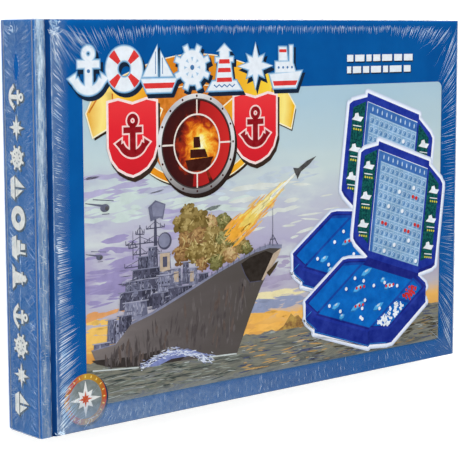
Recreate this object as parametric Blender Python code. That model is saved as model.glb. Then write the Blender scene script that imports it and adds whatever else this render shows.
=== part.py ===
"""A boxed fleet guessing game: a book-style carton, with a cover that swings on a pressed crease, which
holds two hinged plastic game cases side by side, each with its grids, pegs and ten ships.

The carton lies on its back, +Z up. The origin is the middle of its back face. The spine is at -X, the
cover's picture has its top at +Y, and both game cases have their hinge at their -X side.
"""

import math

import bmesh
import bpy

MM = 0.001

# Carton: outside sizes, board and film
CARTON_LENGTH = 335 * MM
CARTON_WIDTH = 225 * MM
CARTON_HEIGHT = 32 * MM
BOARD = 2 * MM
GLUE_GAP = 0.3 * MM
STRIP_WIDTH = 6.5 * MM
CREASE_WIDTH = 3 * MM
CREASE_PAPER = 0.4 * MM
TRAY_BOARD = 1.5 * MM
TRAY_INSET = 1.5 * MM
FILM = 0.25 * MM
FILM_GAP = 0.12 * MM
FILM_LIP = 1.8 * MM
COVER_AXIS_RISE = 0.5 * MM
LEAFLET_THICKNESS = 0.6 * MM
LEAFLET_LENGTH = 285 * MM
LEAFLET_WIDTH = 200 * MM

# Game case: outline, shells and grids
CASE_DEPTH = 150 * MM
CASE_HALF_WIDTH = 107.5 * MM
FIELD_HALF_WIDTH = 66.5 * MM
WING_STEP = 5 * MM
WING_SLOPE = 7 * MM
WING_CORNER = 4 * MM
SHELL_WALL = 1.6 * MM
CASE_TRAY_HEIGHT = 16 * MM
CASE_LID_HEIGHT = 7.7 * MM
PARTING_GAP = 0.3 * MM
PEG_DIVIDER = 58 * MM
GRID_PLATE = 1.5 * MM
GRID_MARGIN = 0.6 * MM
OCEAN_LEVEL = 4.5 * MM
TARGET_LEVEL = 0.8 * MM
HOLES_A_SIDE = 10
CELL = 11.5 * MM
HOLE_RADIUS = 1.95 * MM
HOLE_SIDES = 4
POST_RADIUS = 2.5 * MM
POST_INSET = 7 * MM
CARD = 0.4 * MM

# Hinges of a game case
KNUCKLE_RADIUS = 2.2 * MM
KNUCKLE_RELIEF = 2.6 * MM
KNUCKLE_LENGTH = 8 * MM
KNUCKLE_START = 40 * MM
KNUCKLE_GAP = 0.4 * MM
PIN_RADIUS = 1.0 * MM
PIN_BORE = 1.15 * MM
ROUND_SIDES = 16

# Pegs and ships
PEG_SHANK_RADIUS = 1.05 * MM
PEG_SHANK = 3.4 * MM
PEG_HEAD_RADIUS = 1.9 * MM
PEG_HEAD = 2.6 * MM
SEAT_GAP = 0.3 * MM
HEAP_HEIGHT = 6.5 * MM
SHIP_BEAM = 6.4 * MM
SHIP_HULL = 3.2 * MM
SHIP_HOUSE = 2.0 * MM
SHIP_FUNNEL = 1.6 * MM
SHIP_END_GAP = 1.2 * MM

# Where the cases lie in the carton
COVER_AXIS_X = -CARTON_LENGTH / 2 + STRIP_WIDTH + CREASE_WIDTH / 2
COVER_AXIS_Z = CARTON_HEIGHT + COVER_AXIS_RISE
CASE_A_X = COVER_AXIS_X + 12 * MM
CASE_SPACING = CASE_DEPTH + 10 * MM
CASE_FLOOR_Z = 5 * MM

# decks, first hole (column, row), and whether it lies along the columns
FLEET = (
    (4, (5, 1), True),
    (3, (1, 0), False),
    (3, (3, 3), True),
    (2, (8, 3), False),
    (2, (0, 8), True),
    (2, (3, 0), False),
    (1, (1, 5), True),
    (1, (3, 6), True),
    (1, (9, 6), True),
    (1, (6, 6), True),
)

MATERIALS = {
    "printed_board": ((0.02, 0.13, 0.38), 0.45, 0.0),
    "grey_board": ((0.62, 0.6, 0.56), 0.85, 0.0),
    "film": ((0.85, 0.9, 0.95), 0.1, 0.0),
    "paper": ((0.9, 0.9, 0.88), 0.8, 0.0),
    "case_blue": ((0.02, 0.05, 0.33), 0.35, 0.0),
    "ocean_blue": ((0.01, 0.14, 0.5), 0.4, 0.0),
    "target_blue": ((0.3, 0.52, 0.72), 0.3, 0.0),
    "card_green": ((0.02, 0.2, 0.22), 0.6, 0.0),
    "ship_blue": ((0.1, 0.42, 0.7), 0.4, 0.0),
    "peg_white": ((0.9, 0.9, 0.9), 0.4, 0.0),
    "peg_red": ((0.75, 0.05, 0.05), 0.4, 0.0),
}


def clear_scene():
    for thing in list(bpy.data.objects):
        bpy.data.objects.remove(thing)


def make_materials():
    made = {}
    for name, (colour, roughness, metallic) in MATERIALS.items():
        made[name] = bpy.data.materials.new(name)
        made[name].use_nodes = True
        shader = made[name].node_tree.nodes["Principled BSDF"]
        shader.inputs["Base Color"].default_value = (*colour, 1.0)
        shader.inputs["Roughness"].default_value = roughness
        shader.inputs["Metallic"].default_value = metallic
    return made


def add_empty(name, location, parent=None):
    empty = bpy.data.objects.new(name, None)
    bpy.context.scene.collection.objects.link(empty)
    empty.location = location
    empty.parent = parent
    return empty


def add_object(name, shape, material, parent=None):
    """Links a bmesh as an object whose place is its parent's."""
    bmesh.ops.recalc_face_normals(shape, faces=shape.faces)
    mesh = bpy.data.meshes.new(name)
    shape.to_mesh(mesh)
    shape.free()
    if material:
        mesh.materials.append(material)
    thing = bpy.data.objects.new(name, mesh)
    bpy.context.scene.collection.objects.link(thing)
    thing.parent = parent
    return thing


def add_prism(shape, outline, low, high):
    """An outline of (x, y) points, extruded from one level to the other."""
    ring = [shape.verts.new((x, y, low)) for x, y in outline]
    base = shape.faces.new(ring)
    grown = bmesh.ops.extrude_face_region(shape, geom=[base])
    tops = [item for item in grown["geom"] if isinstance(item, bmesh.types.BMVert)]
    bmesh.ops.translate(shape, verts=tops, vec=(0, 0, high - low))


def prism(outline, low, high):
    shape = bmesh.new()
    add_prism(shape, outline, low, high)
    return shape


def rectangle(x_low, x_high, y_low, y_high):
    return [(x_low, y_low), (x_high, y_low), (x_high, y_high), (x_low, y_high)]


def block(x_range, y_range, z_range):
    return prism(rectangle(*x_range, *y_range), *z_range)


def disc(centre, radius, sides):
    turn = 2 * math.pi / sides
    x, y = centre
    return [
        (x + radius * math.cos(turn * (i + 0.5)), y + radius * math.sin(turn * (i + 0.5)))
        for i in range(sides)
    ]


def rod_along_y(x, z, y_range, radius, sides=ROUND_SIDES):
    """A round bar parallel to the hinges."""
    shape = bmesh.new()
    rings = []
    for y in y_range:
        rings.append([shape.verts.new((x + a, y, z + b)) for a, b in disc((0, 0), radius, sides)])
    for ring in rings:
        shape.faces.new(ring)
    bmesh.ops.bridge_loops(shape, edges=[e for e in shape.edges])
    return shape


def inset(outline, distance):
    """Moves every side of an anticlockwise outline inwards by one distance."""
    count = len(outline)
    moved = []
    for i in range(count):
        (ax, ay), (bx, by), (cx, cy) = outline[i - 1], outline[i], outline[(i + 1) % count]
        before = math.hypot(bx - ax, by - ay)
        after = math.hypot(cx - bx, cy - by)
        n1 = (-(by - ay) / before, (bx - ax) / before)
        n2 = (-(cy - by) / after, (cx - bx) / after)
        share = distance / (1 + n1[0] * n2[0] + n1[1] * n2[1])
        moved.append((bx + (n1[0] + n2[0]) * share, by + (n1[1] + n2[1]) * share))
    return moved


def combine(thing, other_shape, operation):
    """Joins or cuts a bmesh into an object with a Boolean modifier, and hides the helper."""
    helper = add_object(f"{thing.name}_helper_{len(thing.modifiers)}", other_shape, None, thing.parent)
    helper.hide_render = True
    helper.display_type = "WIRE"
    boolean = thing.modifiers.new(helper.name, "BOOLEAN")
    boolean.operation = operation
    boolean.object = helper
    return helper


def cut(thing, other_shape):
    return combine(thing, other_shape, "DIFFERENCE")


def join(thing, other_shape):
    return combine(thing, other_shape, "UNION")


def shade_round(thing, angle_deg=35):
    thing.data.shade_smooth()
    thing.data.set_sharp_from_angle(angle=math.radians(angle_deg))


# ---------------------------------------------------------------- carton


def make_carton(paint):
    half_x, half_y = CARTON_LENGTH / 2, CARTON_WIDTH / 2
    strip_end = -half_x + STRIP_WIDTH
    cover_start = strip_end + CREASE_WIDTH
    board_low = CARTON_HEIGHT - BOARD
    across = (-half_y, half_y)

    def board(name, x_range, z_range, parent=None):
        thing = add_object(name, block(x_range, across, z_range), paint["printed_board"], parent)
        bevel = thing.modifiers.new("worn_edge", "BEVEL")
        bevel.width = 0.4 * MM
        bevel.segments = 1
        return thing

    board("back_board", (-half_x, half_x), (0, BOARD))
    board("spine_board", (-half_x, -half_x + BOARD), (BOARD + GLUE_GAP, board_low - GLUE_GAP))
    board("hinge_strip", (-half_x, strip_end), (board_low, CARTON_HEIGHT))

    crease = (strip_end + GLUE_GAP / 2, cover_start - GLUE_GAP / 2)
    crease_shape = block(crease, across, (board_low, board_low + CREASE_PAPER))
    add_object("crease_strip", crease_shape, paint["printed_board"])

    tray_x = (-half_x + BOARD + GLUE_GAP, half_x - TRAY_INSET)
    tray_y = (-half_y + TRAY_INSET, half_y - TRAY_INSET)
    tray_z = (BOARD + GLUE_GAP, board_low - GLUE_GAP)
    tray = add_object("carton_tray", block(tray_x, tray_y, tray_z), paint["grey_board"])
    inside_x = (tray_x[0] + TRAY_BOARD, tray_x[1] - TRAY_BOARD)
    inside_y = (tray_y[0] + TRAY_BOARD, tray_y[1] - TRAY_BOARD)
    cut(tray, block(inside_x, inside_y, (tray_z[0] + TRAY_BOARD, CARTON_HEIGHT + BOARD)))

    leaflet_low = tray_z[0] + TRAY_BOARD + 0.2 * MM
    leaflet_x = (inside_x[1] - LEAFLET_LENGTH - BOARD, inside_x[1] - BOARD)
    leaflet_y = (-LEAFLET_WIDTH / 2, LEAFLET_WIDTH / 2)
    leaflet = block(leaflet_x, leaflet_y, (leaflet_low, leaflet_low + LEAFLET_THICKNESS))
    add_object("rules_leaflet", leaflet, paint["paper"])

    cover = add_empty("cover_axis", (COVER_AXIS_X, 0, COVER_AXIS_Z))
    cover_x = (cover_start - COVER_AXIS_X, half_x - COVER_AXIS_X)
    board("cover_board", cover_x, (board_low - COVER_AXIS_Z, CARTON_HEIGHT - COVER_AXIS_Z), cover)
    make_film(paint, cover)


def make_film(paint, cover):
    """Shrink film, slit round the three opening edges: one sheet on the cover, one round the rest."""
    half_x, half_y = CARTON_LENGTH / 2, CARTON_WIDTH / 2
    inner_x, inner_y = half_x + FILM_GAP, half_y + FILM_GAP
    outer_x, outer_y = inner_x + FILM, inner_y + FILM
    inner_top = CARTON_HEIGHT + FILM_GAP
    outer_top = inner_top + FILM
    slit = CARTON_HEIGHT - FILM_LIP
    strip_end = -half_x + STRIP_WIDTH

    def from_axis(x, z):
        return x - COVER_AXIS_X, z - COVER_AXIS_Z

    start_x, top = from_axis(strip_end + CREASE_WIDTH, outer_top)
    end_x, lip = from_axis(outer_x, slit)
    front = add_object(
        "film_front", block((start_x, end_x), (-outer_y, outer_y), (lip, top)), paint["film"], cover
    )
    hollow_end, hollow_top = from_axis(inner_x, inner_top)
    hollow = block((start_x - BOARD, hollow_end), (-inner_y, inner_y), (lip - BOARD, hollow_top))
    cut(front, hollow)

    low = 0.4 * MM
    around = block((-outer_x, outer_x), (-outer_y, outer_y), (low, slit - GLUE_GAP))
    sides = add_object("film_sides", around, paint["film"])
    join(sides, block((-outer_x, strip_end - FILM_GAP), (-outer_y, outer_y), (low, outer_top)))
    cut(sides, block((-inner_x, inner_x), (-inner_y, inner_y), (low - BOARD, inner_top)))


# ---------------------------------------------------------------- game case


def wing(side, start, end):
    """The outline of a case's side wing from one depth to the other; side is 1 at +Y and -1 at -Y."""
    rear, front = WING_STEP, CASE_DEPTH - WING_STEP
    corner = CASE_HALF_WIDTH - WING_CORNER
    points = [
        (rear, FIELD_HALF_WIDTH),
        (front, FIELD_HALF_WIDTH),
        (front - WING_SLOPE, corner),
        (front - WING_SLOPE - WING_CORNER, CASE_HALF_WIDTH),
        (rear + WING_SLOPE + WING_CORNER, CASE_HALF_WIDTH),
        (rear + WING_SLOPE, corner),
    ]
    if start > rear:
        points = [(start, FIELD_HALF_WIDTH), *points[1:4], (start, CASE_HALF_WIDTH)]
    if end < front:
        points = [(rear, FIELD_HALF_WIDTH), (end, FIELD_HALF_WIDTH), (end, CASE_HALF_WIDTH), *points[-2:]]
    points = [(x, side * y) for x, y in points]
    return points if side > 0 else points[::-1]


def field():
    return rectangle(0, CASE_DEPTH, -FIELD_HALF_WIDTH, FIELD_HALF_WIDTH)


def case_outline():
    """The field with both wings, anticlockwise from the rear left corner of the field."""
    right = wing(1, 0, CASE_DEPTH)
    left = wing(-1, 0, CASE_DEPTH)
    corners = field()
    return [corners[0], *left[-1:], *left[:-1], corners[1], corners[2], *right[1:], *right[:1], corners[3]]


def knuckle_ranges():
    """For each of the two hinges: the Y range of the tray's knuckle, then that of the lid's."""
    first = (KNUCKLE_START, KNUCKLE_START + KNUCKLE_LENGTH)
    second = (first[1] + KNUCKLE_GAP, first[1] + KNUCKLE_GAP + KNUCKLE_LENGTH)
    return [(first, second), ((-first[1], -first[0]), (-second[1], -second[0]))]


def add_hinge_half(shell, axis_z, own, others):
    """Gives a shell its knuckles, a relief for the other shell's, and the bore for the pin."""
    for y_range in others:
        wide = (y_range[0] - KNUCKLE_GAP / 2, y_range[1] + KNUCKLE_GAP / 2)
        cut(shell, rod_along_y(0, axis_z, wide, KNUCKLE_RELIEF))
    for y_range in own:
        join(shell, rod_along_y(0, axis_z, y_range, KNUCKLE_RADIUS))
        bore = (y_range[0] - KNUCKLE_LENGTH / 2, y_range[1] + KNUCKLE_LENGTH / 2)
        cut(shell, rod_along_y(0, axis_z, bore, PIN_BORE))


def add_posts(shell, low, high):
    """Four posts under the corners of a grid plate."""
    for x in (POST_INSET, CASE_DEPTH - POST_INSET):
        for y in (-FIELD_HALF_WIDTH + POST_INSET, FIELD_HALF_WIDTH - POST_INSET):
            join(shell, prism(disc((x, y), POST_RADIUS, 8), low, high))


def hole_place(column, row, shift=0.0):
    """The middle of a hole: columns run to +Y and rows to +X; the shift moves the field towards +Y and -X."""
    middle = (HOLES_A_SIDE - 1) / 2
    x = CASE_DEPTH / 2 + (row - middle) * CELL - shift
    y = (column - middle) * CELL + shift
    return x, y


def grid_plate(name, low, shift, paint_name, paint, parent):
    """A plate in the field's pocket with a ten by ten field of peg holes."""
    shape = prism(inset(field(), SHELL_WALL + GRID_MARGIN), low, low + GRID_PLATE)
    plate = add_object(name, shape, paint[paint_name], parent)
    holes = bmesh.new()
    for column in range(HOLES_A_SIDE):
        for row in range(HOLES_A_SIDE):
            centre = hole_place(column, row, shift)
            add_prism(holes, disc(centre, HOLE_RADIUS, HOLE_SIDES), low - BOARD, low + GRID_PLATE + BOARD)
    cut(plate, holes)
    return plate


def make_case_tray(letter, paint, parent):
    tray = add_object(
        f"case_{letter}_tray", prism(case_outline(), 0, CASE_TRAY_HEIGHT), paint["case_blue"], parent
    )
    cells = [
        field(),
        wing(-1, 0, CASE_DEPTH),
        wing(1, 0, PEG_DIVIDER),
        wing(1, PEG_DIVIDER, CASE_DEPTH),
    ]
    for cell in cells:
        cut(tray, prism(inset(cell, SHELL_WALL), SHELL_WALL, CASE_TRAY_HEIGHT + BOARD))
    add_posts(tray, SHELL_WALL / 2, OCEAN_LEVEL - GLUE_GAP)
    ranges = knuckle_ranges()
    axis_z = CASE_TRAY_HEIGHT + PARTING_GAP / 2
    add_hinge_half(tray, axis_z, [r[0] for r in ranges], [r[1] for r in ranges])
    grid_plate(f"case_{letter}_ocean_grid", OCEAN_LEVEL, 0, "ocean_blue", paint, parent)
    for side, (own, other) in zip(("right", "left"), ranges):
        reach = (min(own[0], other[0]), max(own[1], other[1]))
        pin = rod_along_y(0, axis_z, reach, PIN_RADIUS, 12)
        shade_round(add_object(f"case_{letter}_hinge_pin_{side}", pin, paint["case_blue"], parent))
    return tray


def make_case_lid(letter, paint, parent):
    """The lid in its closed place; its parent lies on the hinge axis, so Z 0 is the parting plane."""
    low = PARTING_GAP / 2
    high = low + CASE_LID_HEIGHT
    lid = add_object(f"case_{letter}_lid", prism(case_outline(), low, high), paint["case_blue"], parent)
    ceiling = high - SHELL_WALL
    for cell in (field(), wing(-1, 0, CASE_DEPTH), wing(1, 0, CASE_DEPTH)):
        cut(lid, prism(inset(cell, SHELL_WALL), low - BOARD, ceiling))
    target_low = low + TARGET_LEVEL
    add_posts(lid, target_low + GRID_PLATE + GLUE_GAP, ceiling + SHELL_WALL / 2)
    ranges = knuckle_ranges()
    add_hinge_half(lid, 0, [r[1] for r in ranges], [r[0] for r in ranges])
    grid_plate(f"case_{letter}_target_grid", target_low, CELL / 2, "target_blue", paint, parent)
    for side_name, side in (("left", -1), ("right", 1)):
        shape = inset(wing(side, 0, CASE_DEPTH), SHELL_WALL + GRID_MARGIN)
        card = prism(shape, ceiling - GLUE_GAP - CARD, ceiling - GLUE_GAP)
        add_object(f"case_{letter}_fleet_card_{side_name}", card, paint["card_green"], parent)
    return lid


def make_heap(name, cell, paint_name, paint, parent):
    """Loose pegs in a compartment, as one low mound."""
    foot = SHELL_WALL + GLUE_GAP
    outline = inset(cell, SHELL_WALL + 1.5 * MM)
    heap = add_object(name, prism(outline, foot, foot + HEAP_HEIGHT), paint[paint_name], parent)
    shape = bmesh.new()
    shape.from_mesh(heap.data)
    top = [v for v in shape.verts if v.co.z > foot + HEAP_HEIGHT / 2]
    middle = sum((v.co.x for v in top)) / len(top), sum((v.co.y for v in top)) / len(top)
    for vertex in top:
        vertex.co.x += (middle[0] - vertex.co.x) * 0.3
        vertex.co.y += (middle[1] - vertex.co.y) * 0.3
    shape.to_mesh(heap.data)
    shape.free()


def add_peg(name, place, plate_top, up, colour, paint, parent):
    """A peg in a hole: a thin shank, and a round head that stands off the plate's face."""
    x, y = place
    shank_end = plate_top - up * PEG_SHANK
    head_low = plate_top + up * SEAT_GAP
    head_high = head_low + up * PEG_HEAD
    shank = prism(disc((x, y), PEG_SHANK_RADIUS, 8), *sorted((shank_end, head_high - up * 0.5 * MM)))
    peg = add_object(name, shank, paint[colour], parent)
    head = bmesh.new()
    levels = ((0.0, 0.75), (0.3, 1.0), (0.7, 1.0), (1.0, 0.55))
    rings = []
    for share, width in levels:
        z = head_low + (head_high - head_low) * share
        rings.append([head.verts.new((a, b, z)) for a, b in disc((x, y), PEG_HEAD_RADIUS * width, 8)])
    head.faces.new(rings[0])
    head.faces.new(rings[-1])
    for lower, upper in zip(rings, rings[1:]):
        for i in range(len(lower)):
            j = (i + 1) % len(lower)
            head.faces.new((lower[i], lower[j], upper[j], upper[i]))
    join(peg, head)
    shade_round(peg)


def ship_half(length, beam, z, points):
    """Half the waterline of a ship, bow at +X, as a smooth lens with a blunter stern."""
    half = []
    for i in range(points + 1):
        t = i / points
        x = (t - 0.5) * length
        fullness = math.sin(math.pi * min(1.0, 0.12 + 0.88 * t)) ** 0.6
        half.append((x, beam / 2 * max(fullness, 0.02), z))
    return half


def make_ship(name, decks, first, along_columns, plate_top, paint, parent):
    """A ship over its holes: a flared hull, a deckhouse, a funnel, and a stub in its end holes."""
    length = decks * CELL - 2 * SHIP_END_GAP
    low = plate_top + SEAT_GAP
    hull = bmesh.new()
    rings = []
    for z, share in ((low, 0.78), (low + SHIP_HULL, 1.0)):
        half = ship_half(length * (0.93 if share < 1 else 1.0), SHIP_BEAM * share, z, 6)
        around = half + [(x, -y, z) for x, y, z in half[::-1]]
        rings.append([hull.verts.new(p) for p in around])
    for ring in rings:
        hull.faces.new(ring)
    for i in range(len(rings[0])):
        j = (i + 1) % len(rings[0])
        hull.faces.new((rings[0][i], rings[0][j], rings[1][j], rings[1][i]))
    step = (0, 1) if along_columns else (1, 0)
    start = hole_place(*first)
    end = hole_place(first[0] + (decks - 1) * step[1], first[1] + (decks - 1) * step[0])
    axis = add_empty(f"{name}_place", ((start[0] + end[0]) / 2, (start[1] + end[1]) / 2, 0), parent)
    axis.rotation_euler = (0, 0, math.pi / 2 if along_columns else 0)
    ship = add_object(name, hull, paint["ship_blue"], axis)
    deck = low + SHIP_HULL
    house = (-0.2 * length, 0.18 * length)
    join(ship, block(house, (-SHIP_BEAM * 0.26, SHIP_BEAM * 0.26), (deck - 0.6 * MM, deck + SHIP_HOUSE)))
    if decks > 1:
        funnel = disc((-0.04 * length, 0), SHIP_BEAM * 0.17, 8)
        join(ship, prism(funnel, deck, deck + SHIP_HOUSE + SHIP_FUNNEL))
    reach = (decks - 1) * CELL / 2
    for x in sorted({-reach, reach}):
        stub = prism(disc((x, 0), PEG_SHANK_RADIUS, 8), plate_top - PEG_SHANK * 0.8, low + 0.6 * MM)
        join(ship, stub)


def make_case(letter, rear_x, paint):
    case = add_empty(f"case_{letter}_axis", (rear_x, 0, CASE_FLOOR_Z))
    make_case_tray(letter, paint, case)
    make_heap(f"case_{letter}_red_pegs", wing(1, 0, PEG_DIVIDER), "peg_red", paint, case)
    make_heap(f"case_{letter}_white_pegs", wing(1, PEG_DIVIDER, CASE_DEPTH), "peg_white", paint, case)
    plate_top = OCEAN_LEVEL + GRID_PLATE
    for number, (decks, first, along_columns) in enumerate(FLEET, 1):
        name = f"case_{letter}_ship_{number:02d}_{decks}_deck"
        make_ship(name, decks, first, along_columns, plate_top, paint, case)
    add_peg(f"case_{letter}_ocean_peg", hole_place(7, 8), plate_top, 1, "peg_white", paint, case)

    lid_axis = add_empty(f"case_{letter}_lid_axis", (0, 0, CASE_TRAY_HEIGHT + PARTING_GAP / 2), case)
    make_case_lid(letter, paint, lid_axis)
    face = PARTING_GAP / 2 + TARGET_LEVEL
    for colour, hole in (("white", (2, 8)), ("red", (6, 7))):
        place = hole_place(*hole, CELL / 2)
        name = f"case_{letter}_target_peg_{colour}"
        add_peg(name, place, face, -1, f"peg_{colour}", paint, lid_axis)


def main():
    clear_scene()
    paint = make_materials()
    make_carton(paint)
    make_case("a", CASE_A_X, paint)
    make_case("b", CASE_A_X + CASE_SPACING, paint)


main()
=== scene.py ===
"""Looks for the boxed fleet guessing game: printed boards in wrinkled shrink film, and two game cases.

The carton lies on its back. Places on its front are given as (u, v) in millimetres from the front's lower
left corner, as the picture is seen upright: u runs along +X and v along +Y.
"""

import math
import random

import bmesh
import bpy
from mathutils import Matrix, Vector, noise


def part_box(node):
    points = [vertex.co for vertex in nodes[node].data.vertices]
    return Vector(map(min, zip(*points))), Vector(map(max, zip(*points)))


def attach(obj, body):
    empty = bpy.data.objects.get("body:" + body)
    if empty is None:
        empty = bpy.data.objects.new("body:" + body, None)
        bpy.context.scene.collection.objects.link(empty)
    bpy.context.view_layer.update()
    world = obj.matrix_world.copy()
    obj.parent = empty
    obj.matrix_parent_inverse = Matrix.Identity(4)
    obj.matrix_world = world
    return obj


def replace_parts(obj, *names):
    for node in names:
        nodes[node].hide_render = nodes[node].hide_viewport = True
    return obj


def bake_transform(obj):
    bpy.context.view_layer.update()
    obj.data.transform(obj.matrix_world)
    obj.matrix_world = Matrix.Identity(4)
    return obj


MM = 0.001

# Print: the height of one level, and in levels the step between layers and the scatter within one
INK = 0.012 * MM
LAYER = 0.12
SCATTER = 0.1
GOLDEN = 0.618

# Film: its height over the cover, and in mm where it is flat up to, how far its relief takes to
# rise beyond that, and how far its gathers reach inwards from an edge
FILM_LIFT = 0.41 * MM
FLAT_FILM_END = 19.0
RELIEF_RUN_IN = 6.0
GATHER_REACH = 7.0

# Camera: place in metres, turn from the front's normal, tilt and roll in degrees, focal length over width
CAMERA_PLACE = (-0.6154, 0.1054, 0.7076)
CAMERA_TURN = 40.775
CAMERA_TILT = 7.374
CAMERA_ROLL = -0.183
CAMERA_FOCAL = 3.32

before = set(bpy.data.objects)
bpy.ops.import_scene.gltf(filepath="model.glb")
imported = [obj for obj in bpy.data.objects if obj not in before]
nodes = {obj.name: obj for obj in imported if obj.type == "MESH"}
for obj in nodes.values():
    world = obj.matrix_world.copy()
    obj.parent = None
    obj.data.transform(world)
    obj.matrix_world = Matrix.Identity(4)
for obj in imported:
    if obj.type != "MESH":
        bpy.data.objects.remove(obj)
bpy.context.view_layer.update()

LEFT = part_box("back_board")[0].x
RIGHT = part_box("back_board")[1].x
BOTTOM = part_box("back_board")[0].y
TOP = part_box("back_board")[1].y
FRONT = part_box("cover_board")[1].z
COVER_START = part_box("cover_board")[0].x
STRIP_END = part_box("hinge_strip")[1].x

# The carton in millimetres: along the front, up it, through it, where the cover starts, and the side film
LENGTH = (RIGHT - LEFT) / MM
HEIGHT = (TOP - BOTTOM) / MM
DEPTH = FRONT / MM
COVER_EDGE = (COVER_START - LEFT) / MM
SIDE_HEIGHT = DEPTH - (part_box("film_sides")[1].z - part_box("film_front")[0].z) / MM - 0.8


# ---------------------------------------------------------------- materials


def linear(colour):
    """An sRGB colour, 0 to 255, as linear RGBA."""
    out = []
    for channel in colour:
        share = channel / 255
        out.append(share / 12.92 if share <= 0.04045 else ((share + 0.055) / 1.055) ** 2.4)
    return (*out, 1.0)


class Surface:
    """A procedural Principled material, with short calls for the nodes that these pieces need."""

    def __init__(self, name, roughness=0.5, **sockets):
        self.material = bpy.data.materials.new(name)
        self.material.use_nodes = True
        self.nodes = self.material.node_tree.nodes
        self.links = self.material.node_tree.links
        self.shader = self.nodes["Principled BSDF"]
        self.shader.inputs["Roughness"].default_value = roughness
        for socket, value in sockets.items():
            self.shader.inputs[socket.replace("_", " ")].default_value = value
        self.place = self.nodes.new("ShaderNodeTexCoord").outputs["Object"]

    def node(self, kind, **inputs):
        """A new node; an underscore in an input's name stands for a space."""
        made = self.nodes.new("ShaderNode" + kind)
        for socket, value in inputs.items():
            self.feed(made.inputs[socket.replace("_", " ")], value)
        return made

    def feed(self, socket, value):
        """Links a node's output, or sets a plain value."""
        if isinstance(value, bpy.types.NodeSocket):
            self.links.new(value, socket)
        else:
            socket.default_value = value

    def math(self, operation, *values):
        made = self.nodes.new("ShaderNodeMath")
        made.operation = operation
        for socket, value in zip(made.inputs, values):
            self.feed(socket, value)
        return made.outputs[0]

    def times(self, *values):
        product = values[0]
        for value in values[1:]:
            product = self.math("MULTIPLY", product, value)
        return product

    def wobbled(self, value, field, amount):
        """A value moved up and down by a noise field around 0.5."""
        return self.math("MULTIPLY_ADD", self.math("SUBTRACT", field, 0.5), amount, value)

    def axis(self, name):
        return self.node("SeparateXYZ", Vector=self.place).outputs[name]

    def scaled(self, x=1.0, y=1.0, z=1.0):
        made = self.node("Mapping", Vector=self.place)
        made.inputs["Scale"].default_value = (x, y, z)
        return made.outputs[0]

    def noise(self, scale, detail=4.0, roughness=0.55, vector=None, distortion=0.0):
        made = self.node("TexNoise", Vector=vector or self.place, Scale=scale, Detail=detail)
        made.inputs["Roughness"].default_value = roughness
        made.inputs["Distortion"].default_value = distortion
        return made.outputs["Fac"]

    def ramp(self, factor, stops):
        made = self.node("ValToRGB", Fac=factor)
        elements = made.color_ramp.elements
        while len(elements) < len(stops):
            elements.new(0.5)
        for element, (position, colour) in zip(elements, stops):
            element.position = position
            element.color = linear(colour)
        return made.outputs["Color"]

    def span(self, value, low, high, to_low=0.0, to_high=1.0):
        """Maps low..high to to_low..to_high, clamped."""
        ends = {"From_Min": low, "From_Max": high, "To_Min": to_low, "To_Max": to_high}
        return self.node("MapRange", Value=value, **ends).outputs[0]

    def mix(self, factor, one, other):
        made = self.nodes.new("ShaderNodeMix")
        made.data_type = "RGBA"
        self.feed(made.inputs["Factor"], factor)
        self.feed(made.inputs[6], one)
        self.feed(made.inputs[7], other)
        return made.outputs[2]

    def colour(self, value):
        self.feed(self.shader.inputs["Base Color"], value)
        return self

    def bump(self, height, distance, strength=1.0):
        made = self.node("Bump", Height=height, Distance=distance, Strength=strength)
        self.feed(self.shader.inputs["Normal"], made.outputs[0])
        return self


def printed(name):
    """Ink on coated paper: hardly any mirror gloss, and the paper's fine tooth."""
    surface = Surface(name, 0.5, Specular_IOR_Level=0.06)
    surface.bump(surface.noise(2700.0, 2), 0.00003)
    return surface


def plain_print(name, colour, spread=7, scale=300.0):
    """One printed colour that varies a little."""
    surface = printed(name)
    low = tuple(max(0, c - spread) for c in colour)
    high = tuple(min(255, c + spread) for c in colour)
    surface.colour(surface.ramp(surface.noise(scale, 3), [(0.3, low), (0.7, high)]))
    return surface.material


def mottled_print(name, stops, scale, stretch=(1, 1, 1), detail=6.0, distortion=0.0):
    """Printed painterly area: noise through a colour ramp."""
    surface = printed(name)
    field = surface.noise(scale, detail, 0.62, surface.scaled(*stretch), distortion)
    surface.colour(surface.ramp(field, stops))
    return surface.material


def gradient_print(name, axis, low, high, stops, wobble=0.0, wobble_scale=30.0, stretch=(1, 1, 1)):
    """Printed gradient along X or Y between two (u or v) places, with painterly wobble."""
    surface = printed(name)
    origin = LEFT if axis == "X" else BOTTOM
    share = surface.span(surface.axis(axis), origin + low * MM, origin + high * MM)
    field = surface.noise(wobble_scale, 6, 0.6, surface.scaled(*stretch))
    surface.colour(surface.ramp(surface.wobbled(share, field, wobble), stops))
    return surface.material


def board_blue(name, dark=(0, 82, 152), light=(3, 95, 166)):
    surface = printed(name)
    return surface.colour(surface.ramp(surface.noise(40.0, 5), [(0.3, dark), (0.7, light)]))


def board_material(name, inner):
    """The printed blue, with the paper liner on faces whose own normal points inwards along Z."""
    surface = board_blue(name)
    print_colour = surface.shader.inputs["Base Color"].links[0].from_socket
    speck = surface.ramp(surface.noise(1800.0, 3, 0.7), [(0.35, (150, 142, 128)), (0.65, (190, 183, 170))])
    own_normal = surface.nodes.new("ShaderNodeTexCoord").outputs["Normal"]
    up = surface.node("SeparateXYZ", Vector=own_normal).outputs["Z"]
    facing = surface.span(surface.times(up, inner), 0.6, 0.8)
    surface.colour(surface.mix(facing, print_colour, speck))
    surface.bump(surface.noise(1500.0, 4), 0.00004)
    return surface.material


def grey_board():
    surface = Surface("grey_board_fibre", 0.9)
    fibre = surface.noise(700.0, 6, 0.7, surface.scaled(1, 0.25, 1))
    stops = [(0.3, (146, 138, 124)), (0.5, (176, 168, 153)), (0.72, (196, 190, 178))]
    surface.colour(surface.ramp(fibre, stops))
    surface.bump(fibre, 0.0001)
    return surface.material


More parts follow.
